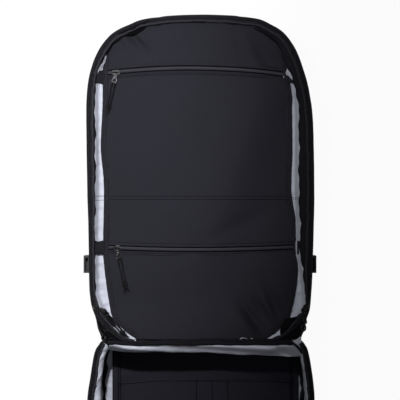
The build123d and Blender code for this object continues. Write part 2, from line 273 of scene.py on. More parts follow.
def even(points, spacing, dims=2):
    """The same line with its samples spaced evenly."""
    steps = np.linalg.norm(np.diff(points[:, :dims], axis=0), axis=1)
    s = np.concatenate([[0], np.cumsum(steps)])
    count = max(2, int(round(s[-1] / spacing)) + 1)
    at = np.linspace(0, s[-1], count)
    return np.stack([np.interp(at, s, points[:, k]) for k in range(points.shape[1])], 1), at


def inward(path, side, wrap=False):
    """Unit normals in plan, to the right of the direction of travel for side 1 and the left for -1."""
    if wrap:
        d = np.roll(path[:, :2], -1, 0) - np.roll(path[:, :2], 1, 0)
    else:
        d = np.gradient(path[:, :2], axis=0)
    d /= np.linalg.norm(d, axis=1)[:, None]
    return np.stack([d[:, 1], -d[:, 0]], 1) * side


def ripple(s, *waves):
    """A sum of sines, each given as (height, wavelength, phase)."""
    return sum(h * np.sin(2 * pi * s / length + phase) for h, length, phase in waves)


def ease(x, low, high):
    """A smooth step from 0 at low to 1 at high."""
    t = np.clip((x - low) / (high - low), 0, 1)
    return t * t * (3 - 2 * t)


def crease(x, v, x0, v0, angle, length, width, height):
    """A soft ridge, or a valley where height is negative, through a point."""
    c, s = cos(radians(angle)), sin(radians(angle))
    along, across = (x - x0) * c + (v - v0) * s, (v - v0) * c - (x - x0) * s
    return height * np.exp(-((along / length) ** 2) - (across / width) ** 2)


def crease_all(x, v, creases):
    """The sum of several creases, each given as the rest of crease's arguments."""
    return sum(crease(x, v, *values) for values in creases)


def quads(rows, columns, wrap_rows=False, wrap_columns=False):
    """Faces of a grid of points, joined end to end where it wraps."""
    r = np.arange(rows if wrap_rows else rows - 1)[:, None]
    c = np.arange(columns if wrap_columns else columns - 1)[None, :]
    r2, c2 = (r + 1) % rows, (c + 1) % columns
    corners = [r * columns + c, r * columns + c2, r2 * columns + c2, r2 * columns + c]
    return np.stack([np.broadcast_to(k, (r.size, c.size)) for k in corners], -1).reshape(-1, 4).tolist()


def piece(name, points, faces, material, body=None, smooth=True, thick=0.0, bevel=0.0):
    """An object from millimetre points that rides on a body."""
    mesh = bpy.data.meshes.new(name)
    points = (np.asarray(points, float).reshape(-1, 3) + OFFSET) / 1000
    mesh.from_pydata(points.tolist(), [], faces)
    mesh.polygons.foreach_set("use_smooth", [smooth] * len(mesh.polygons))
    mesh.materials.append(material)
    obj = bpy.data.objects.new(name, mesh)
    bpy.context.scene.collection.objects.link(obj)
    if thick:
        solid = obj.modifiers.new("thickness", "SOLIDIFY")
        solid.thickness, solid.offset = thick / 1000, 0
    if bevel:
        edge = obj.modifiers.new("edges", "BEVEL")
        edge.width, edge.segments, edge.limit_method = bevel / 1000, 2, "ANGLE"
    if body:
        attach(obj, body)
    return obj


def loft(name, rows, material, body=None, wrap_rows=False, wrap_columns=False, cap=False, **extra):
    """A surface through rows of points, an array of rows by columns by 3, its last ring closed by a cap."""
    rows = np.asarray(rows, float)
    count, columns = rows.shape[:2]
    faces = quads(count, columns, wrap_rows, wrap_columns)
    if cap:
        faces.append(tuple(range((count - 1) * columns, count * columns)))
    return piece(name, rows, faces, material, body, **extra)


def line_of(x, v, z):
    """Points from coordinates that are numbers or equally long arrays."""
    return np.stack(np.broadcast_arrays(x, v, z), 1)


def raise_to(plan, z):
    """Plan points with a height, one number or one for each."""
    return np.column_stack([plan[:, 0], plan[:, 1], np.broadcast_to(z, len(plan))])


def inset_line(path, normals, inset, z):
    """A line beside a plan path at a height; the inset and the height may vary along the path."""
    return raise_to(path[:, :2] + normals * np.broadcast_to(inset, len(path))[:, None], z)


def profile_rows(path, normals, profile, z=0):
    """Rows of a loft along a path from (inset, height above z) pairs."""
    return [inset_line(path, normals, inset, z + height) for inset, height in profile]


def rows_between(near, far, count, height):
    """Rows from one plan line to another; height gives z from the share of the way and the points."""
    rows = []
    for share in np.linspace(0, 1, count):
        plan = near + (far - near) * share
        rows.append(raise_to(plan, height(share, plan)))
    return rows


def tube_rings(points, radius, sides):
    """Rings of points round a line, with frames that don't twist."""
    p = np.asarray(points, float)
    d = np.gradient(p, axis=0)
    d /= np.linalg.norm(d, axis=1)[:, None]
    turn = np.linspace(0, 2 * pi, sides, endpoint=False)
    side = np.cross(d[0], [0.13, 0.21, 0.97])
    rings = []
    for here, along, size in zip(p, d, np.broadcast_to(radius, len(p))):
        side = side - along * (side @ along)
        side /= np.linalg.norm(side)
        up = np.cross(along, side)
        rings.append(here + size * (np.outer(np.cos(turn), side) + np.outer(np.sin(turn), up)))
    return np.array(rings)


def strand(points, radius, sides=8, wrap=False, capped=True):
    """Points and faces of a round strand along a line."""
    rings = tube_rings(points, radius, sides)
    faces = quads(len(rings), sides, wrap, True)
    if capped and not wrap:
        total = len(rings) * sides
        faces += [tuple(range(sides)), tuple(range(total - 1, total - sides - 1, -1))]
    return rings.reshape(-1, 3), faces


def hoop(points, radius, sides=10):
    """Points and faces of a round strand along a line whose end joins its start."""
    rings = tube_rings(np.vstack([points, points[:1]]), radius, sides)[:-1]
    return rings.reshape(-1, 3), quads(len(rings), sides, True, True)


def wire(points, radius, sides=8):
    """Points and faces of a bent wire through given points."""
    return strand(spline(points, 6), radius, sides)


def tube(name, points, radius, material, body=None, sides=8, wrap=False):
    return piece(name, *strand(points, radius, sides, wrap), material, body)


def joined(name, parts, material, body=None, **extra):
    """One object from several (points, faces) pairs."""
    points, faces, start = [], [], 0
    for part_points, part_faces in parts:
        points.append(np.asarray(part_points, float).reshape(-1, 3))
        faces += [tuple(i + start for i in face) for face in part_faces]
        start += len(points[-1])
    return piece(name, np.vstack(points), faces, material, body, **extra)


def stitch_parts(line, pitch=4.0, length=2.7, width=0.55, lift=0.15):
    """Stitches along a line as small rounded lozenges."""
    line, _ = even(np.asarray(line, float), pitch, 3)
    lozenge = [(-0.5, 0, 0), (-0.3, 1, 0), (0.3, 1, 0), (0.5, 0, 0), (0.3, -1, 0), (-0.3, -1, 0)]
    lozenge += [(-0.28, 0, 1), (0.28, 0, 1)]
    faces = [(0, 1, 6), (1, 2, 7, 6), (2, 3, 7), (3, 4, 7), (4, 5, 6, 7), (5, 0, 6)]
    parts = []
    for here, there in zip(line, line[1:]):
        d = (there - here) / max(1e-6, np.linalg.norm(there - here))
        side = np.cross(d, [0, 0, 1.0])
        side /= max(1e-6, np.linalg.norm(side))
        up = np.cross(side, d)
        middle = (here + there) / 2 + up * lift
        points = [middle + d * a * length + (side * b + up * c) * width / 2 for a, b, c in lozenge]
        parts.append((points, faces))
    return parts


def stitches(name, lines, material, body, groove_shade=0.0, **extra):
    """Stitches along lines; where a width is given, a near-black strand along them is the painted shade of
    their pressed groove.
    """
    if groove_shade:
        spaced = [even(np.asarray(line, float), 3.0, 3)[0] for line in lines]
        groove_shades = [strand(line, groove_shade, 5, capped=False) for line in spaced]
        joined(name + "_groove", groove_shades, THREAD_AND_GROOVE_SHADE, body)
    return joined(name, [part for line in lines for part in stitch_parts(line, **extra)], material, body)


def coil_line(path, normals, z, radius, pitch=CHAIN_PITCH, per_turn=9):
    """A helix round a plan path: the coil of one zipper side."""
    steps = np.linalg.norm(np.diff(path[:, :2], axis=0), axis=1)
    s = np.concatenate([[0], np.cumsum(steps)])
    at = np.arange(0, s[-1], pitch / per_turn)
    turn = 2 * pi * at / pitch
    px, pv, nx, nv = (np.interp(at, s, values) for values in (*path[:, :2].T, *normals.T))
    height = np.interp(at, s, np.broadcast_to(z, len(s)))
    out = radius * np.cos(turn)
    return np.stack([px + nx * out, pv + nv * out, height + radius * 0.8 * np.sin(turn)], 1)


def settle(obj, limit, pressure):
    """Puffs a closed mesh with the cloth solver; returns its points, none moved by more than limit."""
    remesh = obj.modifiers.new("even", "REMESH")
    remesh.mode, remesh.voxel_size = "VOXEL", 0.005
    graph = bpy.context.evaluated_depsgraph_get()
    start = bpy.data.meshes.new_from_object(obj.evaluated_get(graph))
    obj.modifiers.remove(remesh)
    obj.data = start
    rest = np.array([v.co for v in start.vertices])
    if not pressure:
        return rest
    solver = obj.modifiers.new("pressure", "CLOTH")
    solver.settings.use_pressure = True
    solver.settings.uniform_pressure_force = pressure
    solver.settings.effector_weights.gravity = 0
    scene = bpy.context.scene
    for number in range(1, SETTLING_FRAMES + 1):
        scene.frame_set(number)
    graph = bpy.context.evaluated_depsgraph_get()
    moved = np.array([v.co for v in obj.evaluated_get(graph).data.vertices])
    obj.modifiers.remove(solver)
    scene.frame_set(1)
    shift = moved - rest
    size = np.linalg.norm(shift, axis=1)[:, None]
    return rest + shift * np.minimum(1, limit / 1000 / np.maximum(size, 1e-9))


# ---------------------------------------------------------------- outlines
# Points are (x, v), with the width of the dark rim as a third number where there is one.
LEFT_RIM = [
    (-98, -4, 3.5), (-119, 2, 7), (-139, 17, 10), (-154, 35, 12), (-161.5, 52, 10), (-165, 72, 7.5),
    (-166, 100, 8), (-167, 168, 8), (-168.5, 228, 10.5), (-170, 330, 12), (-169, 375, 10.5),
    (-163.5, 408, 9), (-151.5, 438, 11.5), (-132, 462, 12), (-108, 475, 11), (-75, 485.5, 9.5),
]
RIGHT_RIM = [
    (0, 490, 9), (78, 486, 11), (109, 474.5, 14), (127, 462, 17.5), (143.5, 438, 21), (155, 408, 20),
    (163.5, 375, 18), (169, 330, 20), (171, 228, 22), (170, 168, 19), (169, 132, 18.5), (168, 100, 12.5),
    (166.5, 72, 8), (164.5, 50, 7), (158, 35, 10), (147, 23, 9), (130, 9, 5.5), (112, 0, 5), (98, -4, 5),
]
HARNESS_RIM = LEFT_RIM + RIGHT_RIM
LID_RIM = [
    (-148, 0, 6), (-152, -6, 7), (-156, -12, 8), (-160, -27, 8.5), (-164.5, -57, 9), (-168.5, -86, 9),
    (-170.5, -140, 9), (-171, -250, 9), (-170.5, -360, 9), (-165, -410, 9), (-151, -442, 9), (-128, -468, 9),
    (-90, -485, 9), (0, -490, 9), (90, -485, 9), (128, -468, 9), (151, -442, 9), (165, -410, 9),
    (170.5, -360, 9), (171, -250, 9), (172, -140, 9), (171.5, -86, 9), (169, -57, 9), (164.5, -27, 9),
    (161, -12, 8), (158, -6, 7), (154, 0, 6),
]
HARNESS_WALL = [(-149, 2), (-151.5, 18), (-154.5, 33), (-160.5, 48), (-164.2, 66)]
HARNESS_WALL += [(x, v) for x, v, _ in HARNESS_RIM if v > 90]
HARNESS_WALL += [(164.8, 66), (162.5, 48), (157.5, 33), (155.5, 18), (153, 2)]
LID_WALL = [(x, min(v, -3)) for x, v, _ in LID_RIM]
PANEL_LEFT = [
    (-88, -3.5), (-100, 5.5), (-115, 17), (-132, 34), (-138.5, 62), (-142, 85), (-145, 110), (-147, 140),
    (-146, 236), (-150.5, 290), (-148, 350), (-147.5, 388), (-146, 435), (-137, 459), (-121, 466),
    (-104, 469), (-82, 480), (-40, 485),
]
PANEL_RIGHT = [
    (95, -6), (112, 10), (124, 22), (134, 30), (136.5, 38), (143, 62), (148, 94), (150.5, 145), (148, 175),
    (139.5, 226), (141, 290), (140, 350), (139.5, 375), (133.5, 410), (130, 438), (112, 458), (98, 470),
    (78, 480), (40, 485),
]
ORGANISER = [
    (-137, -14), (-137, -40), (-137, -90), (-137, -250), (-137, -350), (-130, -395), (-112, -425),
    (-80, -446), (0, -454), (84, -447), (120, -426), (144, -395), (153, -350), (154, -250), (154, -90),
    (154, -40), (154, -14),
]
# Creases in the inner panel and the organiser: x, v, angle, length, width, height.
PANEL_CREASES = [
    (-96, 455, -50, 22, 5.5, -6.5), (-87, 458, -40, 22, 6, 3.6), (-112, 452, -72, 20, 5, 3),
    (-104, 440, -20, 26, 6, -1.2), (97, 432, -52, 36, 13, -4.6), (78, 438, -60, 34, 11, 3.2),
    (114, 440, -48, 20, 8, 3.2), (58, 452, -70, 24, 8, -3), (82, 31, -52, 32, 8.5, -12),
    (68, 25, -50, 26, 9, 5), (94, 43, -60, 26, 7, -8), (114, 49, -70, 30, 9, -6), (104, 50, -64, 28, 7, 3.6),
    (128, 62, -70, 30, 8, 3.2), (15, 70, 4, 90, 26, -3), (-124, 118, 88, 40, 6, 1.0),
    (-104, 60, 70, 50, 11, -1.2), (-60, 424, 4, 70, 6, 0.9), (20, 330, 84, 80, 30, -3),
    (-60, 290, 70, 60, 24, 2.2), (62, 176, 24, 70, 13, -2.6),
]
ORGANISER_CREASES = [
    (118, -72, -35, 30, 7, -2.4), (128, -60, -30, 22, 6, 1.8), (112, -96, -28, 30, 6, 1.4),
    (-118, -62, 20, 26, 8, 1.6),
]
PANEL_Z, SEAM_V, LID_FLOOR = 83.5, 216.4, 20.0
WALL_TOP, HARNESS_FLOOR, FRONT_FLOOR = 97, 25, 15.5
CREST_Z = 101.6


def edge_at(points, v):
    """x of a panel edge at v."""
    line = spline(points)
    return np.interp(v, line[:, 1], line[:, 0])


def upper_zip_v(x):
    """v of the upper pocket zip's gently bowed line."""
    return 412.3 - 0.01376 * x - 0.000475 * x**2


def lower_zip_v(x):
    """v of the lower pocket zip's gently bowed line."""
    return 136.5 + 0.00018 * x**2


def panel_z(x, v):
    """Height of the inner panel's cloth: nearly flat, raised where it is sewn to the rim, with soft folds."""
    z = PANEL_Z + 10 * ease(v, 395, 492) + 10 * ease(-v, -64, 8)
    z = z + 1.3 * np.sin(x / 61 + v / 97 + 0.6) * np.cos(v / 73 - x / 140) + 0.5 * np.sin(x / 23 + v / 41)
    slump = 13 * ease(x - 24 - 0.38 * (v - 200), 0, 78) * ease(v, 50, 190) * ease(-v, -402, -330)
    return z - slump + crease_all(x, v, PANEL_CREASES)


# ---------------------------------------------------------------- rims, walls and bases
def rim(name, points, side, body):
    """Zipper tape, coil, piping and inner band round the open edge of one half."""
    path, s = even(spline(points), 2.2)
    n = inward(path, side)
    squeeze = np.minimum(1, path[:, 2] / 10)
    lift = ripple(s, (0.5, 61, 0.4), (0.3, 23, 1.3))
    sway = ripple(s, (0.35, 47, 0.2), (0.25, 17, 2.0))
    width = path[:, 2] + ripple(s, (0.8, 58, 1.1), (0.6, 23, 0.3))
    tape = [(0.6, 90), (-0.6, 95.5), (-1.2, 99), (-0.9, 101.8), (0.6, 103.3), (2.6, 103.8)]
    tape += [(4.3, 103.3), (4.7, 102)]
    bed = [(4.2, 101.6), (6.0, 101.4), (7.6, 101.2)]
    for label, profile, material in (("_tape", tape, DARK_BINDING), ("_coil_tape", bed, TAPE)):
        rows = profile_rows(path, n, [(a * squeeze, z) for a, z in profile], lift)
        loft(name + label, rows, material, body)
    middle = path[:, :2] + n * (5.7 * squeeze)[:, None]
    tube(name + "_coil", coil_line(middle, n, 102.4 + lift, 1.15), 0.55, COIL, body, sides=5)
    beside = inset_line(path, n, 8.4 * squeeze + sway, 102.4 + lift)
    # The piping's lighter colour is a painted highlight along the rim's inner side.
    tube(name + "_piping", beside, 1.75 * squeeze + 0.1, PIPING_HIGHLIGHT, body)
    inner = [(7.4 * squeeze, 101.2), (8.8 * squeeze, CREST_Z), (9.8 * squeeze, 100.9)]
    inner += [(0.5 * (width + 10 * squeeze), 99.2), (width - 0.6, 96.4), (width, 95.2)]
    inner += [(width - 0.3, 94.2), (width - 2.5, 93.8)]
    fold = ripple(s, (0.5, 33, 0.0), (0.4, 14, 1.0))
    rows = profile_rows(path, n, [(a, z + k / 7 * fold) for k, (a, z) in enumerate(inner)], lift)
    loft(name + "_inner_band", rows, DARK_BINDING, body)
    hem = inset_line(path, n, width - 1.6, 97.6 + lift + fold)
    stitches(name + "_hem_stitches", [hem], THREAD_AND_GROOVE_SHADE, body)
    return path, n, s


def wall(name, points, side, body, low, bulge=1.4):
    """The outer side wall of one half, bulged and creased, with a piped lower edge and stitch lines."""
    path, s = even(np.vstack([spline(points), [points[0]]]), 4.0)
    path, s = path[:-1], s[:-1]
    n = inward(path, side, wrap=True)
    height = WALL_TOP - low
    rows = []
    for t in np.linspace(0, 1, 15):
        creases = ripple(s + 60 * t, (0.5, 83, 0.0), (0.3, 37, 1.0)) + 0.4 * np.sin(s / 29 + 5 * t)
        inset = 1.2 - (bulge + creases) * sin(pi * t) ** 0.8 + 3.2 * (1 - min(1, t / 0.08)) ** 2
        rows.append(inset_line(path, n, inset, low + height * t))
    loft(name, rows, SHELL, body, wrap_columns=True)
    tube(name + "_edge_piping", inset_line(path, n, 2.2, low + 1.6), 1.7, DARK_BINDING, body, wrap=True)
    for k, t in enumerate((0.13, 0.9)):
        line = inset_line(path, n, 0.2 - bulge * sin(pi * t), low + height * t)
        stitches(f"{name}_stitches_{k + 1}", [line], THREAD_AND_GROOVE_SHADE, body, lift=0)
    return path, n


def base(name, path, n, z, body):
    """A panel that fills a closed outline, softly waved."""
    ring = path + n * 3.0
    centre = ring.mean(0)
    rows = []
    for k in (1, 0.985, 0.95, 0.88, 0.78, 0.66, 0.52, 0.38, 0.22, 0.08, 0.01):
        plan = centre + (ring - centre) * k
        rows.append(raise_to(plan, z + 0.8 * np.sin(plan[:, 0] / 37) * np.cos(plan[:, 1] / 53) * (1 - k)))
    return loft(name, rows, SHELL, body, wrap_columns=True, cap=True, thick=1.2)


harness_path, harness_n, harness_s = rim("harness_rim", HARNESS_RIM, 1, BODY)
lid_path, lid_n, lid_s = rim("lid_rim", LID_RIM, -1, FRONT)
harness_loop, harness_loop_n = wall("harness_wall", HARNESS_WALL, 1, BODY, HARNESS_FLOOR)
lid_loop, lid_loop_n = wall("lid_wall", LID_WALL, -1, FRONT, FRONT_FLOOR)
base("harness_back", harness_loop, harness_loop_n, HARNESS_FLOOR + 0.2, BODY)
base("lid_base", lid_loop, lid_loop_n, FRONT_FLOOR - 0.1, FRONT)


# ---------------------------------------------------------------- inside of the harness half
def harness_lining():
    """The pale side lining that shows between the dark rim and the inner panel, puckered where it is sewn."""
    path, n, s = harness_path, harness_n, harness_s
    width = path[:, 2]
    pucker = ripple(s, (1.1, 17, 0.3), (1.2, 31, 1.7), (0.6, 9.5, 0.5))
    low_corner = ease(-path[:, 1], -74, -40)
    top = np.where(path[:, 0] < 0, ease(path[:, 1], 433, 446), ease(path[:, 1], 413, 426))
    rows = []
    for k in range(12):
        t = k / 11
        plan = path[:, :2] + n * (width - 2.5 + (21 + 2 * low_corner) * t)[:, None]
        under = panel_z(plan[:, 0], plan[:, 1]) - 1.8
        drop = ease(t, 0.02, 0.4)
        z = (1 - drop) * (96 - 16 * top) + drop * under + pucker * (1 - t) * min(1, 4 * t) - 40 * top * drop
        rows.append(raise_to(plan, z))
    loft("harness_side_lining", rows, LINING, BODY)
    rows, parts = np.array(rows), []
    for side in (-1, 1):
        at = np.where(np.sign(path[:, 0]) == side, np.abs(path[:, 1] - SEAM_V), 1e3).argmin()
        for shift in (-1, 1):
            parts.append(strand(rows[:9, at + shift] + [0, shift * 0.9, 0.25], 0.33, 5, capped=False))
    joined("harness_lining_seam", parts, THREAD_AND_GROOVE_SHADE, BODY)


harness_lining()


def panel_sheet(name, low, high, rows):
    """One cloth piece of the inner panel between two edges given as functions of x."""
    u = np.linspace(-1, 1, 110)
    grid = []
    for t in np.linspace(0, 1, rows):
        x = u * 140
        for _ in range(3):
            v = low(x) + (high(x) - low(x)) * t
            left, right = edge_at(PANEL_LEFT, v), edge_at(PANEL_RIGHT, v)
            x = (left + right) / 2 + u * (right - left) / 2
        grid.append(np.stack([x, v, panel_z(x, v)], 1))
    loft(name, grid, PANEL, BODY, thick=0.9)


panel_sheet("panel_top", lambda x: upper_zip_v(x) + 5.2, lambda x: 485 + 0 * x, 34)
panel_sheet("panel_middle", lambda x: lower_zip_v(x) + 5.2, lambda x: upper_zip_v(x) - 4.6, 96)
panel_sheet("panel_bottom", lambda x: -5 + 0 * x, lambda x: lower_zip_v(x) - 4.6, 60)


def along_zip(zip_v, spacing):
    """Points along a pocket zip from binding to binding."""
    start, end = edge_at(PANEL_LEFT, zip_v(-130)), edge_at(PANEL_RIGHT, zip_v(130))
    x = np.arange(start + 7.5, end - 7.5, spacing)
    return x, zip_v(x)


def pocket_zip(name, zip_v):
    """A reversed-coil zip under folded cloth edges, with its ribs, near-black strips of painted shade in its
    grooves, and stitch lines.
    """
    x, v = along_zip(zip_v, 0.42)
    rib = 0.28 * np.abs(np.sin(pi * x / CHAIN_PITCH))
    z = panel_z(x, v)
    teeth = [(4.4, -0.7), (3.5, -0.5), (3.3, 0.3), (2.4, 0.8), (1.0, 0.9), (-0.6, 0.6)]
    teeth += [(-1.2, -0.9), (-2.2, -1.0)]
    rows = [line_of(x, v + a, z + h + (rib if 3.4 > a > -1.1 else 0)) for a, h in teeth]
    loft(name + "_teeth", rows, SIDE_TAPE, BODY)
    x, v = along_zip(zip_v, 2.0)
    z = panel_z(x, v)
    wave = ripple(x, (0.25, 47, 0.0), (0.15, 19, 1.0))
    # Near-black strips in the grooves at the zip's lips are painted shade.
    groove_shade = [(-1.0, -0.6), (-2.6, -0.9), (-3.4, -0.4)]
    upper_groove_shade = [(5.6, -0.3), (4.4, -0.5), (3.4, -0.3)]
    lip = [(-2.9, -0.4), (-3.0, 0.9), (-3.5, 1.7), (-4.4, 1.9), (-5.4, 1.2), (-6.2, 0.5)]
    lip += [(-7.2, 0.1), (-9.5, -0.1)]
    upper_lip = [(5.2, -0.3), (4.8, 0.7), (5.1, 1.7), (5.9, 2.1), (7.1, 1.7), (8.6, 0.7), (10.4, 0.0)]
    for label, profile, sway, material in (
        ("_groove", groove_shade, 0, THREAD_AND_GROOVE_SHADE),
        ("_upper_groove", upper_groove_shade, 0, THREAD_AND_GROOVE_SHADE),
        ("_lower_lip", lip, wave, PANEL),
        ("_upper_lip", upper_lip, wave, PANEL),
    ):
        loft(name + label, [line_of(x, v + a, z + h + sway) for a, h in profile], material, BODY)
    lines = [line_of(x, v + a, z + h) for a, h in ((-8.3, 0.3), (9.4, 0.5))]
    stitches(name + "_stitches", lines, THREAD_AND_GROOVE_SHADE, BODY, pitch=3.4, length=2.4, width=1.0)


pocket_zip("upper_zip", upper_zip_v)
pocket_zip("lower_zip", lower_zip_v)


def panel_seam():
    """The lapped seam across the middle of the inner panel."""
    x = np.linspace(edge_at(PANEL_LEFT, SEAM_V) + 1, edge_at(PANEL_RIGHT, SEAM_V) - 1, 130)
    line = line_of(x, SEAM_V, panel_z(x, SEAM_V))
    ridge = [line + [0, a, h] for a, h in ((-2.8, 0.3), (-1.6, 0.75), (0, 0.5), (1.6, 0.75), (2.8, 0.3))]
    loft("panel_seam_ridge", ridge, PANEL, BODY)
    sewn = [line + [0, a, 0.75] for a in (-2.2, 2.2)]
    stitches("panel_seam_stitches", sewn, THREAD_AND_GROOVE_SHADE, BODY, pitch=3.4, length=2.5, width=0.9)


panel_seam()


def panel_binding(name, points, side):
    """The folded tape sewn over one side edge of the inner panel."""
    line = spline(points)
    path, s = even(line[line[:, 1] < 478], 2.0)
    n = inward(path, side)
    width = 8.2 + ripple(s, (0.4, 90, 0.5), (0.25, 31, 0.2))
    z = panel_z(path[:, 0], path[:, 1]) + ripple(s, (0.35, 26, 0.3), (0.25, 11, 0.0))
    shape = [(0.8, -1.3), (0, -0.6), (-0.1, 0.5), (0.5, 1.3), (1.6, 1.6), (0.45 * width, 1.35)]
    shape += [(width - 1.2, 1.2), (width - 0.3, 0.9), (width, 0.2)]
    loft(name, profile_rows(path, n, shape, z), BINDING, BODY)
    sewn = inset_line(path, n, width - 1.3, z + 1.25)
    stitches(name + "_stitches", [sewn], SEWN, BODY, groove_shade=0.5, pitch=3.2, length=1.9, width=0.8, lift=0.45)


panel_binding("left_panel_binding", PANEL_LEFT, 1)
panel_binding("right_panel_binding", PANEL_RIGHT, -1)


def panel_tab(name, v, side):
    """A doubled strip of cloth that ties the inner panel to the side wall where a zip ends."""
    middle = len(harness_path) // 2
    edge = harness_path[:middle] if side < 0 else harness_path[:middle:-1]
    start = edge_at(PANEL_LEFT if side < 0 else PANEL_RIGHT, v) - side * 3
    end = np.interp(v, edge[:, 1], edge[:, 0] - side * edge[:, 2]) + side * 4
    across = np.linspace(-1, 1, 13)
    rows = []
    for t in np.linspace(0, 1, 12):
        half = 9.8 + 0.7 * sin(9 * t)
        z = PANEL_Z + 1.6 + 11.5 * t**1.3 + 0.6 * sin(pi * t)
        rows.append(line_of(start + (end - start) * t, v + half * across, z + 0.5 * np.cos(across * 2.2)))
    loft(name, rows, BINDING, BODY, thick=1.0)
    ends = [[rows[k][side_end] + [0, dip, 0.7] for k in (1, -3)] for side_end, dip in ((0, 1.2), (-1, -1.2))]
    stitches(name + "_stitches", ends, THREAD_AND_GROOVE_SHADE, BODY, pitch=3.0, length=2.0)


for label, tab_v in (("upper", 399), ("lower", 141)):
    panel_tab(f"{label}_left_tab", tab_v, -1)
    panel_tab(f"{label}_right_tab", tab_v, 1)


# ---------------------------------------------------------------- the fold
def fold_pieces():
    """The taped band and piping at the fold, and the front lining that rolls over it."""
    x = np.arange(-139, 139.5, 2.0)
    wave = ripple(x, (0.5, 71, 0.0), (0.3, 27, 1.0))
    shape = [(4.2, 97), (3.4, 100.5), (2.0, 102.8), (0.2, 104.2), (-1.8, 104.6), (-3.8, 104), (-5.4, 102.4)]
    shape += [(-5.9, 100.8), (-5.2, 99)]
    thin = 1 - 0.8 * ease(-x, -10, 95)
    rows = [line_of(x, a * (thin if a > 0 else 1) + wave, h + 0.4 * wave) for a, h in shape]
    band = loft("fold_band", rows, DARK_BINDING)
    cord_line = line_of(x, wave + 1.9 * thin - 0.8 * (1 - thin), 103.9)
    cord = tube("fold_piping_cord", cord_line, 1.5, DARK_BINDING)
    for obj in (band, cord):
        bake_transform(obj)
    x = np.arange(-137, 153, 1.5)
    reach = 6.0 * ease(x, -30, 140) - 2.5 * ease(-x, 96, 137)
    rise = 7 * ease(-x, 104, 137) + 10 * ease(x, 96, 140)
    wrinkle = ripple(x, (0.5, 83, 0.5), (0.25, 37, 0.0))
    roll = [(-3.0, 98.5), (-4.6, 100.4), (-6.4, 100.9), (-8.2, 100.2), (-10.2, 98.2), (-12.4, 95.2)]
    roll += [(-14.6, 92.0), (-16.4, 89.2), (-17.6, 86.6), (-18.0, 84.4), (-17.5, 82), (-15.5, 78)]
    roll += [(-12.5, 66), (-10.5, 44), (-9, 24)]
    rows = []
    for k, (a, h) in enumerate(roll):
        t = min(1, k / 8)
        pleat = 3.4 * np.sin(x / 44 - 0.62 * k + 1.0) + 2.2 * np.sin(x / 17 + 0.5 * k) * ease(x, 30, 130)
        pleat = pleat + crease_all(x, k, [(118, 4, 14, 40, 1.6, -4.0), (-90, 5, 3, 60, 1.5, 2.2)])
        v = a - reach * t + rise * (1 - t) + wrinkle * t
        rows.append(line_of(x, v, h + pleat * sin(pi * min(1, k / 9))))
    loft("fold_lining", rows, SATIN, FRONT)


fold_pieces()


# ---------------------------------------------------------------- inside of the front half
def lid_inside():
    """The pale lining inside the front half's wall, its bound seam and its edge on the floor."""
    path, n, s = lid_path, lid_n, lid_s
    width = path[:, 2]
    left_foot = 11.8 + 6 * ease(-path[:, 1], 50, 110)
    foot = left_foot + (8.5 - left_foot) * ease(path[:, 0], -100, 100)
    ledge = foot + 3 + 1 * ease(-path[:, 0], 0, 100)
    puckers = ripple(s, (1.0, 41, 0.2), (0.8, 23, 1.1), (0.4, 11, 0.6))
    shoulder = [(0, 97.5), (0.12, 98.3), (0.3, 98.2), (0.5, 97), (0.7, 95), (0.86, 92.4), (0.97, 89)]
    rows = []
    for k, (share, z) in enumerate(shoulder):
        swell = sin(pi * min(1, (k + 0.5) / 7))
        inset = width - 2 + (ledge - width + 2) * share + puckers * swell * 0.7
        folds = swell * ripple(s + 3 * k, (1.3, 31, 0.4), (1.0, 17, 1.9), (0.6, 9, 0.2))
        rows.append(inset_line(path, n, inset, z + folds))
    drop = [(3.0, 85), (2.6, 79), (1.2, 70), (0.2, 55), (-0.3, 40), (-0.2, 30), (0, 22)]
    rows += [inset_line(path, n, foot + out + 0.4 * puckers, z) for out, z in drop]
    loft("lid_side_lining", rows, LINING, FRONT)
    seam_inset = foot + 2.2 + ripple(s, (1.3, 53, 0.4), (0.9, 29, 2.0))
    line = inset_line(path, n, seam_inset, 22.6 + ripple(s, (0.8, 33, 0.0)))
    bead = [(-3.4, -1.6), (-3.0, 0.6), (-1.6, 1.9), (0.4, 2.2), (2.2, 1.4), (3.2, -0.2), (3.4, -1.8)]
    grown = 1 + 0.25 * ripple(s, (1, 39, 0.0), (0.6, 17, 1.4))
    rows = [line + np.column_stack([n * (a * grown)[:, None], h * grown]) for a, h in bead]
    loft("lid_bound_seam", rows, DARK_BINDING, FRONT)
    stitches("lid_bound_seam_stitches", [line + [0, 0, 2.1]], THREAD_AND_GROOVE_SHADE, FRONT)
    gathers = ripple(s, (0.8, 27, 0.9), (0.5, 13, 0.1))
    rows = []
    for t in np.linspace(0, 1, 9):
        rows.append(inset_line(path, n, foot + 3 + 26 * t, 20.4 + gathers * (1 - t) - 1.2 * t))
    loft("lid_base_lining", rows, LINING, FRONT)


lid_inside()


def organiser_z(x, v):
    """Height of the organiser's cloth, which lies loose over the front pocket."""
    z = LID_FLOOR + 2.2 + 1.2 * np.sin(x / 47 + v / 61) + 0.8 * np.cos(v / 33 - x / 90)
    return z + crease_all(x, v, ORGANISER_CREASES)


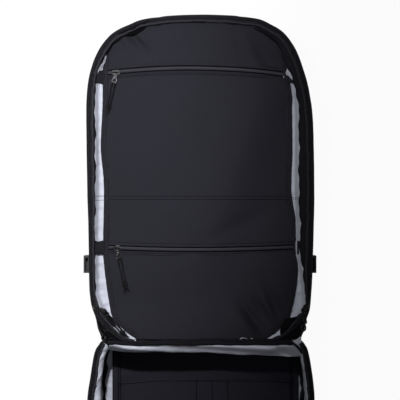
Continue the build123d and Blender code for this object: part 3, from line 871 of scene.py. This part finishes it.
def organiser():
    """The organiser's backing panel with its hem, and the pocket with pen slots sewn on it."""
    half = len(ORGANISER) // 2
    left, right = spline(ORGANISER[: half + 1])[::-1], spline(ORGANISER[half:])
    rows = []
    for v in np.linspace(-452, -12, 150):
        x = np.linspace(np.interp(v, left[:, 1], left[:, 0]), np.interp(v, right[:, 1], right[:, 0]), 100)
        rows.append(line_of(x, v, organiser_z(x, v)))
    loft("organiser_panel", rows, FRONT_CLOTH, FRONT, thick=0.9)
    edge, _ = even(spline(ORGANISER), 2.2)
    n = inward(edge, -1)
    z = organiser_z(edge[:, 0], edge[:, 1])
    hem = [(-0.3, -0.4), (-0.3, 0.7), (0.5, 1.3), (3.6, 1.1), (12.6, 1.0), (13.6, 0.4)]
    loft("organiser_hem", profile_rows(edge, n, hem, z), FRONT_CLOTH, FRONT)
    sewn = [inset_line(edge, n, a, z + 1.1) for a in (9.2, 12.2)]
    stitches("organiser_hem_stitches", sewn, THREAD_AND_GROOVE_SHADE, FRONT, groove_shade=0.35, pitch=3.6, length=2.4, width=1.5)
    x = np.linspace(-127, 144, 90)
    top = -68.5 - 4.5 * ease(-x, 60, 128) - 2 * ease(x, 60, 144)
    rows = []
    for t in np.linspace(0, 1, 70):
        v = -240 + (top + 240) * t
        puff = 1.6 + 1.6 * np.sin(pi * t) * np.abs(np.sin(pi * (x + 127) / 62))
        rows.append(line_of(x, v, organiser_z(x, v) + puff))
    loft("organiser_pocket", rows, FRONT_CLOTH, FRONT, thick=0.9)
    rows, above = np.array(rows), [0, 0, 0.5]
    lines = [rows[-1] + [0, -2.2, 0.5]]
    lines += [rows[:, np.abs(x - slot_x).argmin()] + above for slot_x in (-4.5, 19, 43)]
    lines += [rows[:, 1] + above, rows[:, -2] + above, rows[1] + above]
    stitches("organiser_pocket_stitches", lines, THREAD_AND_GROOVE_SHADE, FRONT, groove_shade=0.4, pitch=3.4, length=2.4, width=1.2)


organiser()


# ---------------------------------------------------------------- corners of the harness half
def sampled(points, count):
    """Plan points of a smooth line, picked at evenly spaced places in its list of points."""
    line = spline(points)
    return line[np.linspace(0, len(line) - 1, count).astype(int)][:, :2]


def corner_cover(name, rim_points, outside):
    """Dark cloth between the rim and the outer silhouette at a lower corner, gathered along the rim."""
    count = 60
    s = np.arange(count) * 2.0

    def height(t, plan):
        ridge = 0.8 * np.sin(t * 15 + 0.4 * np.sin(s / 17)) * sin(pi * t)
        turned = 6 * max(0, t - 0.86) / 0.14
        return CREST_Z - 1.4 * t - turned + ridge + ripple(s, (0.5, 23, 0.0), (0.3, 9, 1.0)) * t

    rows = rows_between(sampled(rim_points, count), sampled(outside, count), 12, height)
    loft(name, rows, BLACK_TAPE_AND_GAP_SHADE, BODY, thick=0.8)


def corner_tape(name, near, far, count, height, thick):
    """A folded end of dark tape between two lines."""
    rows = rows_between(spline(near, 8), spline(far, 8), count, height)
    loft(name, rows, BLACK_TAPE_AND_GAP_SHADE, BODY, thick=thick)


def tongue_z(t, plan):
    return 99.4 + 2.2 * sin(pi * min(1, t * 1.6)) + 0.5 * np.sin(plan[:, 1] / 3 + 4 * t) - 2.5 * (1 - t) ** 2


def gap_shade_tape_z(t, plan):
    return 105.2 - 9 * t**1.4 + 0.5 * np.sin(plan[:, 0] / 2.6 + 5 * t)


def left_folds_z(t, plan):
    ridge = np.abs(np.sin(3.5 * pi * t + 1.1 * np.linspace(0, 1, len(plan))))
    return 93.2 + 7.6 * ease(t, 0.42, 0.92) + 1.5 * ridge * sin(pi * min(1, t + 0.05))


corner_cover(
    "left_corner_cover",
    [(-164.2, 76), (-160.5, 54), (-152, 36), (-137, 20), (-122.5, 10), (-107, -2), (-94, -4.5)],
    [(-166, 76), (-162, 52), (-156.5, 33), (-152.5, 16), (-140, 0), (-94, -5.5)],
)
corner_cover(
    "right_corner_cover",
    [(165.8, 78), (163, 51), (156, 36), (145, 24), (128, 11), (99, -1)],
    [(167.7, 78), (165.5, 50), (160.5, 33), (157, 16), (143, 0), (99, -4.5)],
)
corner_tape(
    "right_corner_tongue", [(122, 5), (121, 18), (129, 34)], [(140, 8), (148, 24), (151, 39)],
    12, tongue_z, 1.0,
)
# A turned tape end, made near black and laid over the gap between the rim and the panel at the top left:
# painted shade of that gap.
corner_tape(
    "turned_tape_gap_shade",
    [(-122, 462), (-110, 469), (-99, 474.3), (-76, 483)],
    [(-120, 460.5), (-106.5, 460.5), (-91.5, 465.5), (-76, 479)],
    12, gap_shade_tape_z, 0.8,
)
# A near-black tube along the rim's inner edge at the top right: painted shade in the gap between the rim and
# the panel.
gap_shade_line = spline([(82.5, 471.8), (98.8, 463), (115, 450.5), (130, 436.8), (140, 420.5)], 8)
tube("upper_right_gap_shade", raise_to(gap_shade_line, 97.3 + 0.4 * np.sin(gap_shade_line[:, 0] / 4)), 1.0, BLACK_TAPE_AND_GAP_SHADE, BODY)
corner_tape(
    "left_corner_folds",
    [(-123.5, 5), (-124.5, 17.5), (-133, 33), (-143, 49)],
    [(-124, -1), (-140, 12), (-150.5, 29), (-156, 50)],
    34, left_folds_z, 0.9,
)
corner_line, _ = even(spline([(-121, 5.5), (-136, 16), (-147, 28), (-153.5, 42), (-157.5, 54)]), 2.0)
tube("left_corner_coil", coil_line(corner_line, inward(corner_line, 1), 102.6, 1.2), 0.6, METAL, BODY, sides=5)


# ---------------------------------------------------------------- sliders, pulls, cords and rings


def placed(part, pivot, turn):
    """A part's points turned about the vertical and moved to a pivot, with its faces."""
    points, faces = part
    p = np.asarray(points, float)
    c, s = cos(radians(turn)), sin(radians(turn))
    turned = np.stack([p[..., 0] * c - p[..., 1] * s, p[..., 0] * s + p[..., 1] * c, p[..., 2]], -1)
    return turned + np.array(pivot), faces


def outline_at(outline, centre, angles):
    """Where rays from the centre cross a closed outline."""
    ring = []
    for angle in angles:
        d = np.array([cos(angle), sin(angle)])
        best = 1e9
        for a, b in zip(outline, np.roll(outline, -1, 0)):
            m = np.array([d, a - b]).T
            if abs(np.linalg.det(m)) > 1e-9:
                r, t = np.linalg.solve(m, a - centre)
                if r > 0 and -1e-6 <= t <= 1 + 1e-6:
                    best = min(best, r)
        ring.append(centre + d * best)
    return np.array(ring)


def plate(outline, low, high, hole=None, hole_radius=0.0, count=40):
    """Points and faces of a flat plate, with a round hole where one is asked for."""
    outline = np.array(outline, float)
    centre = np.array(hole if hole else outline.mean(0), float)
    angles = np.linspace(0, 2 * pi, count, endpoint=False)
    ring = outline_at(outline, centre, angles)
    levels = [raise_to(ring, low), raise_to(ring, high)]
    if not hole:
        faces = [(j, (j + 1) % count, count + (j + 1) % count, count + j) for j in range(count)]
        faces += [tuple(range(count - 1, -1, -1)), tuple(range(count, 2 * count))]
        return np.vstack(levels), faces
    inner = centre + hole_radius * np.stack([np.cos(angles), np.sin(angles)], 1)
    levels = [raise_to(inner, low), *levels, raise_to(inner, high)]
    faces = []
    for k in range(4):
        here, there = k * count, (k + 1) % 4 * count
        for j in range(count):
            after = (j + 1) % count
            faces.append((here + j, there + j, there + after, here + after))
    return np.vstack(levels), faces


def fitting(name, parts, material, body, node, **extra):
    """A small fitting joined from parts, which shows in place of a CAD node."""
    obj = joined(name, parts, material, body, **extra)
    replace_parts(obj, node)
    return obj


def slider(name, place, turn, size, body, node):
    """A zipper slider: shaped top plate, side flanges and a wire bail."""
    length, width, rise = size
    corners = [(0.30, 0.5), (0.5, 0.22), (0.42, -0.2), (0.36, -0.5)]
    corners = [(-0.30, 0.5), *corners, *[(-x, y) for x, y in corners[:0:-1]]]
    nose = [(x * width, y * length) for x, y in corners]
    parts = [plate(nose, -0.9, 0.7), plate([(x * 0.62, y * 0.72) for x, y in nose], 0.6, 1.5)]
    for side in (-1, 1):
        rail = [(0.34, 0.1), (0.46, 0.2), (0.40, -0.48), (0.31, -0.48)]
        parts.append(plate([(side * width * x, length * y) for x, y in rail], -1.8, 0.3, count=16))
    bail = [(0.33, rise * 0.7), (0.1, rise), (-0.2, rise * 0.96), (-0.38, rise * 0.55)]
    bail = [(0.36, 0.4), *bail, (-0.4, 0.4)]
    parts.append(wire([(0, length * y, z) for y, z in bail], 0.8))
    fitting(name, [placed(part, place, turn) for part in parts], METAL, body, node, smooth=False, bevel=0.28)


def pull_tab(name, pivot, turn, body, node):
    """The flat flared tab that hangs from a slider, with an eye for its cord."""
    edge = [(1.5, 0.9), (2.3, -0.4), (2.6, -3.0), (3.9, -9.0), (4.2, -12.4), (3.4, -13.4)]
    tab = [(-1.5, 0.9)] + edge + [(-x, y) for x, y in edge[:0:-1]]
    parts = [
        plate(tab, -0.75, 0.75, hole=(0, -9.6), hole_radius=2.3),
        plate([(-1.5, -1.0), (1.5, -1.0), (2.0, -5.6), (-2.0, -5.6)], 0.6, 1.05, count=20),
        wire([(-1.3, 0.4, 0), (-1.3, 1.6, 0.7), (0, 2.1, 1.0), (1.3, 1.6, 0.7), (1.3, 0.4, 0)], 0.55),
    ]
    fitting(name, [placed(part, pivot, turn) for part in parts], METAL, body, node, smooth=False, bevel=0.22)


def cord_curve(name, points, body, node):
    """A round cord of 2.2 mm through points in metres."""
    curve = bpy.data.curves.new(name, "CURVE")
    curve.dimensions = "3D"
    curve.bevel_depth, curve.bevel_resolution, curve.resolution_u = 0.0011, 4, 12
    line = curve.splines.new("NURBS")
    line.points.add(len(points) - 1)
    for spot, place in zip(line.points, points):
        spot.co = (*place, 1)
    line.order_u = 3
    line.use_endpoint_u = True
    curve.materials.append(CORD)
    obj = bpy.data.objects.new(name, curve)
    bpy.context.scene.collection.objects.link(obj)
    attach(obj, body)
    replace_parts(obj, node)
    return obj


def pull_cord(name, pivot, turn, reach, body, nodes, tails=((-2.2, 6.5, 0.4), (2.4, 5.0, -0.2))):
    """The doubled cord through the tab's eye and its knot; a tail is a spread, a length and a curl."""
    half, third = 2.1, reach / 3.8
    route = [(-half, 0, 0), (-half - 0.7, -third, 0.3), (-half + 0.1, -2 * third, -0.2)]
    route += [(-half, -3 * third, 0), (-half, -reach, 0), (half, -reach, 0), (half, 0.3 - 3 * third, 0)]
    route += [(half - 0.3, 0.8 - 2 * third, 0.3), (half + 0.5, -third, -0.2), (half, 0, 0)]
    local = np.array(route) + [0, -14, 0]
    points = (placed((local, []), pivot, turn)[0] + OFFSET) / 1000
    obj = cord_curve(name, points, body, nodes[0])
    end = -14 - reach
    t = np.linspace(0, 2 * pi, 90, endpoint=False)
    knot_x = (np.sin(t) + 2 * np.sin(2 * t)) * 1.2
    knot_y = (np.cos(t) - 2 * np.cos(2 * t)) * 1.4 + end - 5.2
    parts = [hoop(np.stack([knot_x, knot_y, -np.sin(3 * t) * 1.3], 1), 1.3)]
    for spread, length, curl in tails:
        side = 1 if spread > 0 else -1
        tail = [(side * 0.9, end - 7.4, 0.2), (side * 1.6 + spread * 0.3, end - 9.6, 0.5)]
        tail += [(spread * 0.8, end - 9 - length * 0.55, 0.2 + curl), (spread * 1.5, end - 8.6 - length, 0)]
        parts.append(wire(tail, 1.05, 10))
    for side in (-half, half):
        neck = [(side, end + 3, 0), (side * 0.9, end - 0.5, 0.2), (side * 1.4 / half, end - 3.2, 0.8)]
        parts.append(wire(neck, 1.1, 10))
    knot = fitting(name + "_knot", [placed(part, pivot, turn) for part in parts], CORD, body, nodes[1])
    length = float(np.linalg.norm(np.diff(points, axis=0), axis=1).sum()) - 0.0012


slider("upper_slider_metal", (-127.5, 406.4, 86.4), -90, (12, 8.4, 3.9), "upper_slider", "upper_zip_slider")
slider("lower_slider_metal", (-125, 140.4, 86.4), -90, (12, 8.4, 3.9), "lower_slider", "lower_zip_slider")
slider("main_left_slider", (-155.5, 50.5, 104.2), 35.5, (14, 9.5, 4.6), "left_main_slider", "main_slider_left")
slider("main_right_slider", (157.5, 50, 104.2), -35.5, (14, 9.5, 4.6), "right_main_slider", "main_slider_right")
PULLS = {
    "upper": ((-127.5, 403.5, 88.7), -12.5, "upper_pull"),
    "lower": ((-125, 137.5, 88.7), 12, "lower_pull"),
    "main_left": ((-147.81, 49, 98.3), 41, "left_main_pull"),
}
CORDS = {
    "upper": (33, ("upper_pull_cord", "upper_pull_knot")),
    "lower": (35, ("lower_pull_cord", "lower_pull_knot")),
    "main_left": (30, ("main_left_pull_cord", "main_left_pull_knot"), [(-1.2, 9.0, 0.3), (2.2, 6.0, -0.4)]),
}
for label, (pivot, turn, body) in PULLS.items():
    pull_tab(f"{label}_tab", pivot, turn, body, f"{label}_pull_tab")
for label, (pivot, turn, body) in PULLS.items():
    reach, *knotted = CORDS[label]
    pull_cord(f"{label}_cord", pivot, turn, reach, body, *knotted)


def right_ring():
    """The right main slider's ring on its short link."""
    t = np.linspace(0, 2 * pi, 40, endpoint=False)
    ring = np.stack([155 + 3.4 * np.cos(t), 21.5 + 4.8 * np.sin(t), 106.4 + 1.9 * np.cos(t)], 1)
    link = [(-2.2, 7), (2.2, 7), (3.0, -6), (-3.0, -6)]
    link = plate(link, -0.6, 0.6, hole=(0, 3.6), hole_radius=1.3, count=28)
    hook = wire([(156.2, 39, 106.2), (156.8, 45, 107.0), (157.4, 49.5, 107.6)], 0.9)
    parts = [hoop(ring, 1.0), placed(link, (157.2, 33.4, 106.3), 12), hook]
    body, node = "right_main_ring", "main_right_pull_ring"
    fitting("main_right_ring", parts, METAL, body, node, smooth=False, bevel=0.2)


right_ring()


def corner_fittings():
    """Small wire rings and loops at the left corner, and the bent wire that shows on the fold."""
    t = np.linspace(0, 2 * pi, 27, endpoint=False)
    parts = []
    for x, v, wide, long, turn, tilt in (
        (-145.5, 15, 3.0, 4.4, 24, 1.2),
        (-145, 6.5, 2.4, 3.4, -50, 0.8),
        (-134, 3.5, 2.0, 3.0, 60, 0.6),
    ):
        ring = np.stack([wide * np.cos(t), long * np.sin(t), tilt * np.cos(t)], 1)
        parts.append(hoop(placed((ring, []), (x, v, 104.2), turn)[0], 0.65, 8))
    parts.append(wire([(-134, 10, 104), (-139, 16, 105), (-144, 24, 105), (-150, 33, 104.5)], 0.7))
    joined("left_corner_rings", parts, METAL, BODY)
    bent = [wire([(60, 3.6, 104), (62, 5.6, 105), (66.5, 6.2, 105.2), (71, 4.4, 104.4)], 0.55)]
    bent.append(wire([(76, 5.4, 104.6), (79.5, 4.8, 104.6)], 0.55))
    joined("fold_wire", bent, PALE_METAL, BODY)
    end = spline([(131, 0.5, 104.6), (139, -1.5, 105.4), (147, -8, 105), (153.5, -17, 103.6)])
    tube("lid_rim_end", end, 1.9, DARK_BINDING, FRONT)


corner_fittings()


# ---------------------------------------------------------------- padded pieces
def pad(name, outline, low, high, body, nodes, seams, material=MESH):
    """A padded piece between two heights, puffed by the cloth solver and then pressed in along its seams."""
    ring = np.array(outline, float)
    centre = ring.mean(0)
    radius = np.linalg.norm(ring - centre, axis=1)[:, None]
    middle = (low + high) / 2
    lower = [(0.02, 0), (0.5, 0), (0.9, 0), (0.985, 0.06), (1, 0.3)]
    rows = []
    for k, t in lower + [(k, 1 - t) for k, t in reversed(lower)]:
        plan = centre + (ring - centre) * k * (1 - 2.5 / radius)
        rows.append(raise_to(plan, low + 1.5 + (high - low - 3) * t))
    obj = loft(name, rows, material, wrap_columns=True)
    caps = bmesh.new()
    caps.from_mesh(obj.data)
    bmesh.ops.holes_fill(caps, edges=caps.edges, sides=0)
    bmesh.ops.recalc_face_normals(caps, faces=caps.faces)
    caps.to_mesh(obj.data)
    caps.free()
    points = settle(obj, PAD_SHIFT, PAD_PRESSURE) * 1000 - OFFSET
    for (x0, v0), (x1, v1) in seams:
        d = np.array([x1 - x0, v1 - v0], float)
        t = np.clip(((points[:, :2] - (x0, v0)) @ d) / (d @ d), 0, 1)
        gap = np.linalg.norm(points[:, :2] - (np.array((x0, v0)) + t[:, None] * d), axis=1)
        points[:, 2] -= (points[:, 2] - middle) * 0.62 * np.exp(-((gap / 4.2) ** 2))
    points[:, 2] = np.clip(points[:, 2], low + 0.1, high - 0.1)
    flat = (points + OFFSET) / 1000
    obj.data.vertices.foreach_set("co", flat.astype(np.float32).ravel())
    obj.data.polygons.foreach_set("use_smooth", [True] * len(obj.data.polygons))
    obj.modifiers.new("smooth", "SUBSURF").levels = 1
    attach(obj, body)
    if nodes:
        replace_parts(obj, *nodes)
    grown = centre + (ring - centre) * (1 + 0.2 / radius)
    closed, _ = even(np.vstack([grown, grown[:1]]), 3.0)
    tube(name + "_edge_tape", raise_to(closed[:-1], middle), 1.6, DARK_BINDING, body, wrap=True)


def rounded(x0, x1, v0, v1, radius, waist=0.0):
    """Outline of a rounded rectangle whose long sides may pull in towards the middle."""
    left, right, low, high = x0 + radius, x1 - radius, v0 + radius, v1 - radius
    points = []
    for cx, cv, start in ((right, high, 0), (left, high, 90), (left, low, 180), (right, low, 270)):
        for angle in np.linspace(start, start + 90, 7):
            points.append((cx + radius * cos(radians(angle)), cv + radius * sin(radians(angle))))
    closed, _ = even(np.array(points + points[:1], float), 6.0)
    closed = closed[:-1]
    pull = waist * np.sin(pi * np.clip((closed[:, 1] - v0) / (v1 - v0), 0, 1)) ** 2
    closed[:, 0] -= np.sign(closed[:, 0] - (x0 + x1) / 2) * pull
    return closed


SIDES = ((-1, "left"), (1, "right"))
for side, label in SIDES:
    outline = rounded(*sorted((side * 6.5, side * 134.5)), 41, 419, 34, 6)
    seams = [((side * 22, v), (side * 122, v + 12)) for v in (105, 175, 245, 315, 375)]
    pad(f"{label}_back_pad", outline, 12.3, 23.9, BODY, ("back_pads",) if label == "left" else (), seams)
seams = [((-x, v), (x, v)) for x, v in ((30, 85), (36, 105), (30, 125))]
pad("lumbar_cushion", rounded(-49, 49, 61, 149, 20), 0.4, 12, BODY, ("lumbar_pad",), seams)
seams = [((-100, 412), (100, 412))]
outline = rounded(-124, 124, 395.6, 429.4, 13)
pad("strap_yoke_pad", outline, 0.4, 11.8, BODY, ("strap_yoke",), seams, SHELL)
for side, label in SIDES:
    outline = rounded(*sorted((side * 59, side * 119)), 151, 393.6, 24, 3)
    seams = [((side * 72, v), (side * 106, v)) for v in (185, 225, 265, 345)]
    pad(f"{label}_shoulder_pad", outline, 0.6, 11.6, f"{label}_strap", (f"{label}_strap_pad",), seams)


# ---------------------------------------------------------------- webbing and zips outside
def web_strip(name, points, axis, body, material):
    """Flat webbing along a 3-D line, its width along one axis."""
    line, _ = even(spline(points, 10), 1.6, 3)
    axis = np.array(axis, float)
    d = np.gradient(line, axis=0)
    d /= np.linalg.norm(d, axis=1)[:, None]
    up = np.cross(axis, d)
    half, t = WEB_WIDTH / 2, WEB_THICKNESS / 2
    shape = [(-half, 0), (-half + 0.8, t), (-half / 3, t * 1.05), (half / 3, t * 1.05)]
    shape += [(half - 0.8, t), (half, 0), (half - 0.8, -t), (-half + 0.8, -t)]
    return loft(name, [line + a * axis + b * up for a, b in shape], material, body, wrap_rows=True)


def bar_tacks(name, centre, body):
    """Short dense rows of stitching that fix side webbing down."""
    lines = []
    for k in range(5):
        middle = np.array(centre, float) + np.array([0, 0, 1]) * (k - 5 / 2) * 1.1
        lines.append([middle - [0, 8, 0], middle + [0, 8, 0]])
    stitches(name, lines, THREAD_AND_GROOVE_SHADE, body, pitch=2.2, length=2.0, lift=0.0)


X_AXIS, Y_AXIS = (1, 0, 0), (0, 1, 0)
for side, label in SIDES:
    for part, body, v, tack, route in (
        ("side", BODY, 116, (169.9, 33), [(167.4, 29), (169.0, 38), (168.6, 52), (168.6, 67)]),
        ("front", FRONT, -116, (170.2, 28), [(168.2, 23), (169.4, 36), (168.6, 58), (168.6, 79)]),
    ):
        web_strip(f"{label}_{part}_web", [(side * x, v, z) for x, z in route], Y_AXIS, body, WEBBING)
        bar_tacks(f"{label}_{part}_web_tacks", (side * tack[0], v, tack[1]), body)
    anchor = [(side * 89, v, z) for v, z in ((30, 10.4), (40, 9.6), (52, 7.6), (59, 6.6))]
    web_strip(f"{label}_strap_anchor", anchor, X_AXIS, BODY, WEBBING_ACROSS)
    adjust = [(side * 89, v, z) for v, z in ((76, 5), (90, 4.4), (112, 4.6), (130, 5))]
    web = web_strip(f"{label}_adjust_web", adjust, X_AXIS, f"{label}_strap", WEBBING_ACROSS)
    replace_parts(web, f"{label}_strap_webbing")
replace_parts(bpy.data.objects["left_side_web"], "body_webbing")
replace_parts(bpy.data.objects["left_front_web"], "front_side_webbing")


def laptop_zip():
    """The laptop compartment's zip along the side wall, under a folded rain flap."""
    keep = np.flatnonzero(harness_loop[:, 1] > 192)
    line, out = harness_loop[keep], -harness_loop_n[keep]
    chain = [(0.2, 29.5), (1.5, 31), (1.9, 33), (1.2, 35.4), (1.2, 36.6), (1.9, 39), (1.5, 41), (0.2, 42.5)]
    flap = [(0.3, 46), (2.2, 44.6), (2.9, 42.4), (2.6, 40.6), (2.0, 39.6)]
    loft("laptop_zip_chain_cover", profile_rows(line, out, chain), SIDE_TAPE, BODY)
    cover = loft("laptop_zip_flap", profile_rows(line, out, flap), SHELL, BODY)
    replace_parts(cover, "laptop_zip_chain")
    tube("laptop_zip_coil", coil_line(line, out, 36, 1.0), 0.5, COIL, BODY, sides=5)
    stitches("laptop_zip_stitches", [inset_line(line, out, 2.9, 43.6)], THREAD_AND_GROOVE_SHADE, BODY)


laptop_zip()


def front_pocket():
    """The pocket on the front half's outer face: crowned cloth with piped edge, seams and its zip."""
    ring = [(x * 0.893, max(-438, min(-32, v * 0.905))) for x, v, _ in LID_RIM]
    ring = even(np.vstack([spline(ring), [ring[0]]]), 4.0)[0][:-1]
    centre = ring.mean(0)
    crown = [(1.0, 15.0), (1.0, 11), (0.998, 7), (0.985, 4.2), (0.96, 2.4), (0.9, 1.3)]
    crown += [(0.8, 0.8), (0.65, 0.6), (0.5, 0.5), (0.35, 0.5), (0.2, 0.5), (0.05, 0.5)]
    rows = []
    for k, z in crown:
        plan = centre + (ring - centre) * k
        wave = 0.5 * np.sin(plan[:, 0] / 29 + plan[:, 1] / 63) + 0.4 * np.cos(plan[:, 1] / 41)
        rows.append(raise_to(plan, z + (0.6 + wave * 0.6) * (1 - k) * 2))
    cover = loft("front_pocket_cloth", rows, SHELL, FRONT, wrap_columns=True, cap=True)
    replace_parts(cover, "front_pocket")
    x = np.linspace(-149, 149, 120)
    for number, (level, bow) in enumerate(((-126, 10), (-262, 6)), 1):
        line = line_of(x, level + bow * (x / 150) ** 2, 1.15)
        tube(f"front_pocket_seam_{number}", line, 0.85, DARK_BINDING, FRONT)
        sewn = [line + [0, a, -0.5] for a in (-3.4, 3.4)]
        name = f"front_pocket_seam_stitches_{number}"
        stitches(name, sewn, SEWN, FRONT, pitch=3.4, length=2.4, width=0.7, lift=0.0)
    edge = raise_to(centre + (ring - centre) * 1.004, 13.2)
    tube("front_pocket_piping", edge, 1.7, DARK_BINDING, FRONT, wrap=True)
    x = np.arange(-96, 96.1, 0.5)
    rib = 0.2 * np.abs(np.sin(pi * x / CHAIN_PITCH))
    chain = [(0, 0, 2), (1.3, 0, 2.6), (1.7, 1, 4.6), (1.0, 1, 6.2)]
    chain += [(1.0, 1, 6.8), (1.7, 1, 8.4), (1.3, 0, 10.4), (0, 0, 11)]
    rows = [line_of(x, -440.4 - a - rib * b, h) for a, b, h in chain]
    teeth = loft("front_pocket_zip", rows, SIDE_TAPE, FRONT)
    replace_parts(teeth, "front_pocket_zip_chain")


front_pocket()


def handle():
    """The padded grab handle on the top wall, flat where its ends meet the wall."""
    keep = (np.abs(harness_path[:, 0]) < 88) & (harness_path[:, 1] > 400)
    line, out, s = harness_path[keep], -harness_n[keep], harness_s[keep] - harness_s[keep].mean()
    gap = 0.8 + 2.6 * ease(-np.abs(s), -80, -50)
    grip = ease(-np.abs(s), -68, -60)
    half, thick = 9.6 + 3.6 * grip, 1.0 + 1.5 * grip
    rows = []
    for turn in np.linspace(0, 2 * pi, 20, endpoint=False):
        squared = np.sign(cos(turn)) * abs(cos(turn)) ** 0.55
        z = 62 + half * squared + 0.3 * np.sin(s / 7) * grip
        rows.append(inset_line(line, out, gap + thick * (1 + sin(turn)) - 1.6, z))
    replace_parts(loft("grab_handle", rows, SHELL, BODY, wrap_rows=True), "top_handle")


handle()

REPLACED = {
    "harness_back": "back_panel_shell", "harness_wall": "body_gusset", "harness_rim_coil": "body_zip_chain",
    "harness_rim_tape": "body_rim_binding", "harness_side_lining": "main_lining",
    "panel_middle": "pocket_backing", "left_panel_binding": "panel_side_bindings",
    "panel_top": "upper_pocket_face", "panel_bottom": "lower_pocket_face", "upper_zip_teeth": "upper_zip_chain",
    "lower_zip_teeth": "lower_zip_chain", "upper_left_tab": "panel_tabs", "fold_piping_cord": "fold_piping",
    "fold_band": "body_fold_band", "fold_lining": "front_fold_lining", "lid_base": "front_base",
    "lid_wall": "front_gusset", "lid_side_lining": "front_lining", "lid_bound_seam": "front_bound_seam",
    "lid_rim_coil": "front_zip_chain", "organiser_panel": "organizer_panel",
    "organiser_pocket": "organizer_pocket",
}
for name, node in REPLACED.items():
    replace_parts(bpy.data.objects[name], node)


# ---------------------------------------------------------------- cloth pieces
def cut_sheet(length=None):
    """Takes a cloth piece's length, none for a cut as wide and long as it lies, and does nothing with it."""
    if length:
        return


HARNESS_LENGTH, LID_LENGTH = harness_s[-1] / 1000, lid_s[-1] / 1000
for name in ("panel_top", "panel_middle", "panel_bottom"):
    cut_sheet()
for name, held, rests_on, length in (
    ("harness_side_lining", "gathered", "harness_rim_inner_band", HARNESS_LENGTH),
    ("lid_side_lining", "gathered", "lid_rim_inner_band", LID_LENGTH),
    ("lid_base_lining", "laid", "lid_base", LID_LENGTH),
    ("fold_lining", "folded", "fold_band", None),
    ("organiser_panel", "stretched", "lid_base", None),
    ("organiser_pocket", "stretched", "organiser_panel", None),
    ("front_pocket_cloth", "stretched", "lid_base", None),
    ("harness_back", "stretched", "harness_wall", None),
    ("lid_base", "stretched", "lid_wall", None),
    ("harness_wall", "stretched", "harness_rim_tape", HARNESS_LENGTH),
    ("lid_wall", "stretched", "lid_rim_tape", LID_LENGTH),
):
    cut_sheet(length)


# ---------------------------------------------------------------- looks of the CAD nodes themselves
KEPT = {
    "body_side_buckles": PLASTIC, "front_side_buckles": PLASTIC, "left_strap_hardware": PLASTIC,
    "right_strap_hardware": PLASTIC, "left_sternum_strap": PLASTIC, "right_sternum_strap": PLASTIC,
    "laptop_zip_slider": METAL, "front_pocket_zip_slider": METAL, "frame_sheet": STIFFENER,
    "laptop_sleeve": LINING,
}
for name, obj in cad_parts.items():
    obj.data.materials.clear()
    obj.data.materials.append(KEPT.get(name, SHELL))
    if KEPT.get(name) in (PLASTIC, METAL):
        softened = obj.modifiers.new("softened edges", "BEVEL")
        softened.width, softened.segments, softened.limit_method = 0.0007, 3, "ANGLE"
        softened.angle_limit = radians(40)


# ---------------------------------------------------------------- floor, light and camera
def lamp(name, place, aim, size, power, cone=None):
    """An area light, or a spot light with a cone in degrees; places in metres."""
    light = bpy.data.lights.new(name, "SPOT" if cone else "AREA")
    light.energy = power
    if cone:
        light.spot_size, light.spot_blend, light.shadow_soft_size = radians(cone), 0.6, size
    else:
        light.size = size
    obj = bpy.data.objects.new(name, light)
    obj.location = place
    obj.visible_camera = False
    obj.rotation_euler = (Vector(aim) - Vector(place)).to_track_quat("-Z", "Y").to_euler()
    bpy.context.scene.collection.objects.link(obj)


def studio():
    """A plain bright floor, the room's even light, three lamps and the camera above."""
    white = (1, 1, 1, 1)
    s = Shader("floor_paper")
    s.tint(srgb(70, 70, 70), s.noise(40, 3), 0.03)
    s.set(Roughness=0.95, Specular_IOR_Level=0.1, Emission_Color=white, Emission_Strength=0.95)
    reach = np.linspace(-9000, 9000, 40)
    loft("floor", [line_of(reach, v, -0.6) for v in reach], s.material)
    scene = bpy.context.scene
    world = bpy.data.worlds.new("studio")
    world.use_nodes = True
    background = world.node_tree.nodes["Background"]
    background.inputs["Color"].default_value = white
    background.inputs["Strength"].default_value = 0.09
    scene.world = world
    lamp("key", (-0.16, 0.45, 0.92), (-0.6, 0.35, 0.0), 0.025, 34.4, 102)
    lamp("softbox", (-0.62, 0.95, 1.3), (-0.2, 0.2, 0.05), 0.7, 3.5)
    lamp("ceiling", (-0.2, 0.2, 2.6), (0, 0.1, 0), 1.2, 1.5)
    camera = bpy.data.objects.new("camera", bpy.data.cameras.new("camera"))
    camera.location = (0, (213 + FOLD_Y) / 1000, (RIM_Z + 1800) / 1000)
    camera.data.lens, camera.data.sensor_width = 108, 36
    camera.data.clip_end = 100
    scene.collection.objects.link(camera)
    scene.camera = camera
    scene.view_settings.view_transform = "Standard"


studio()
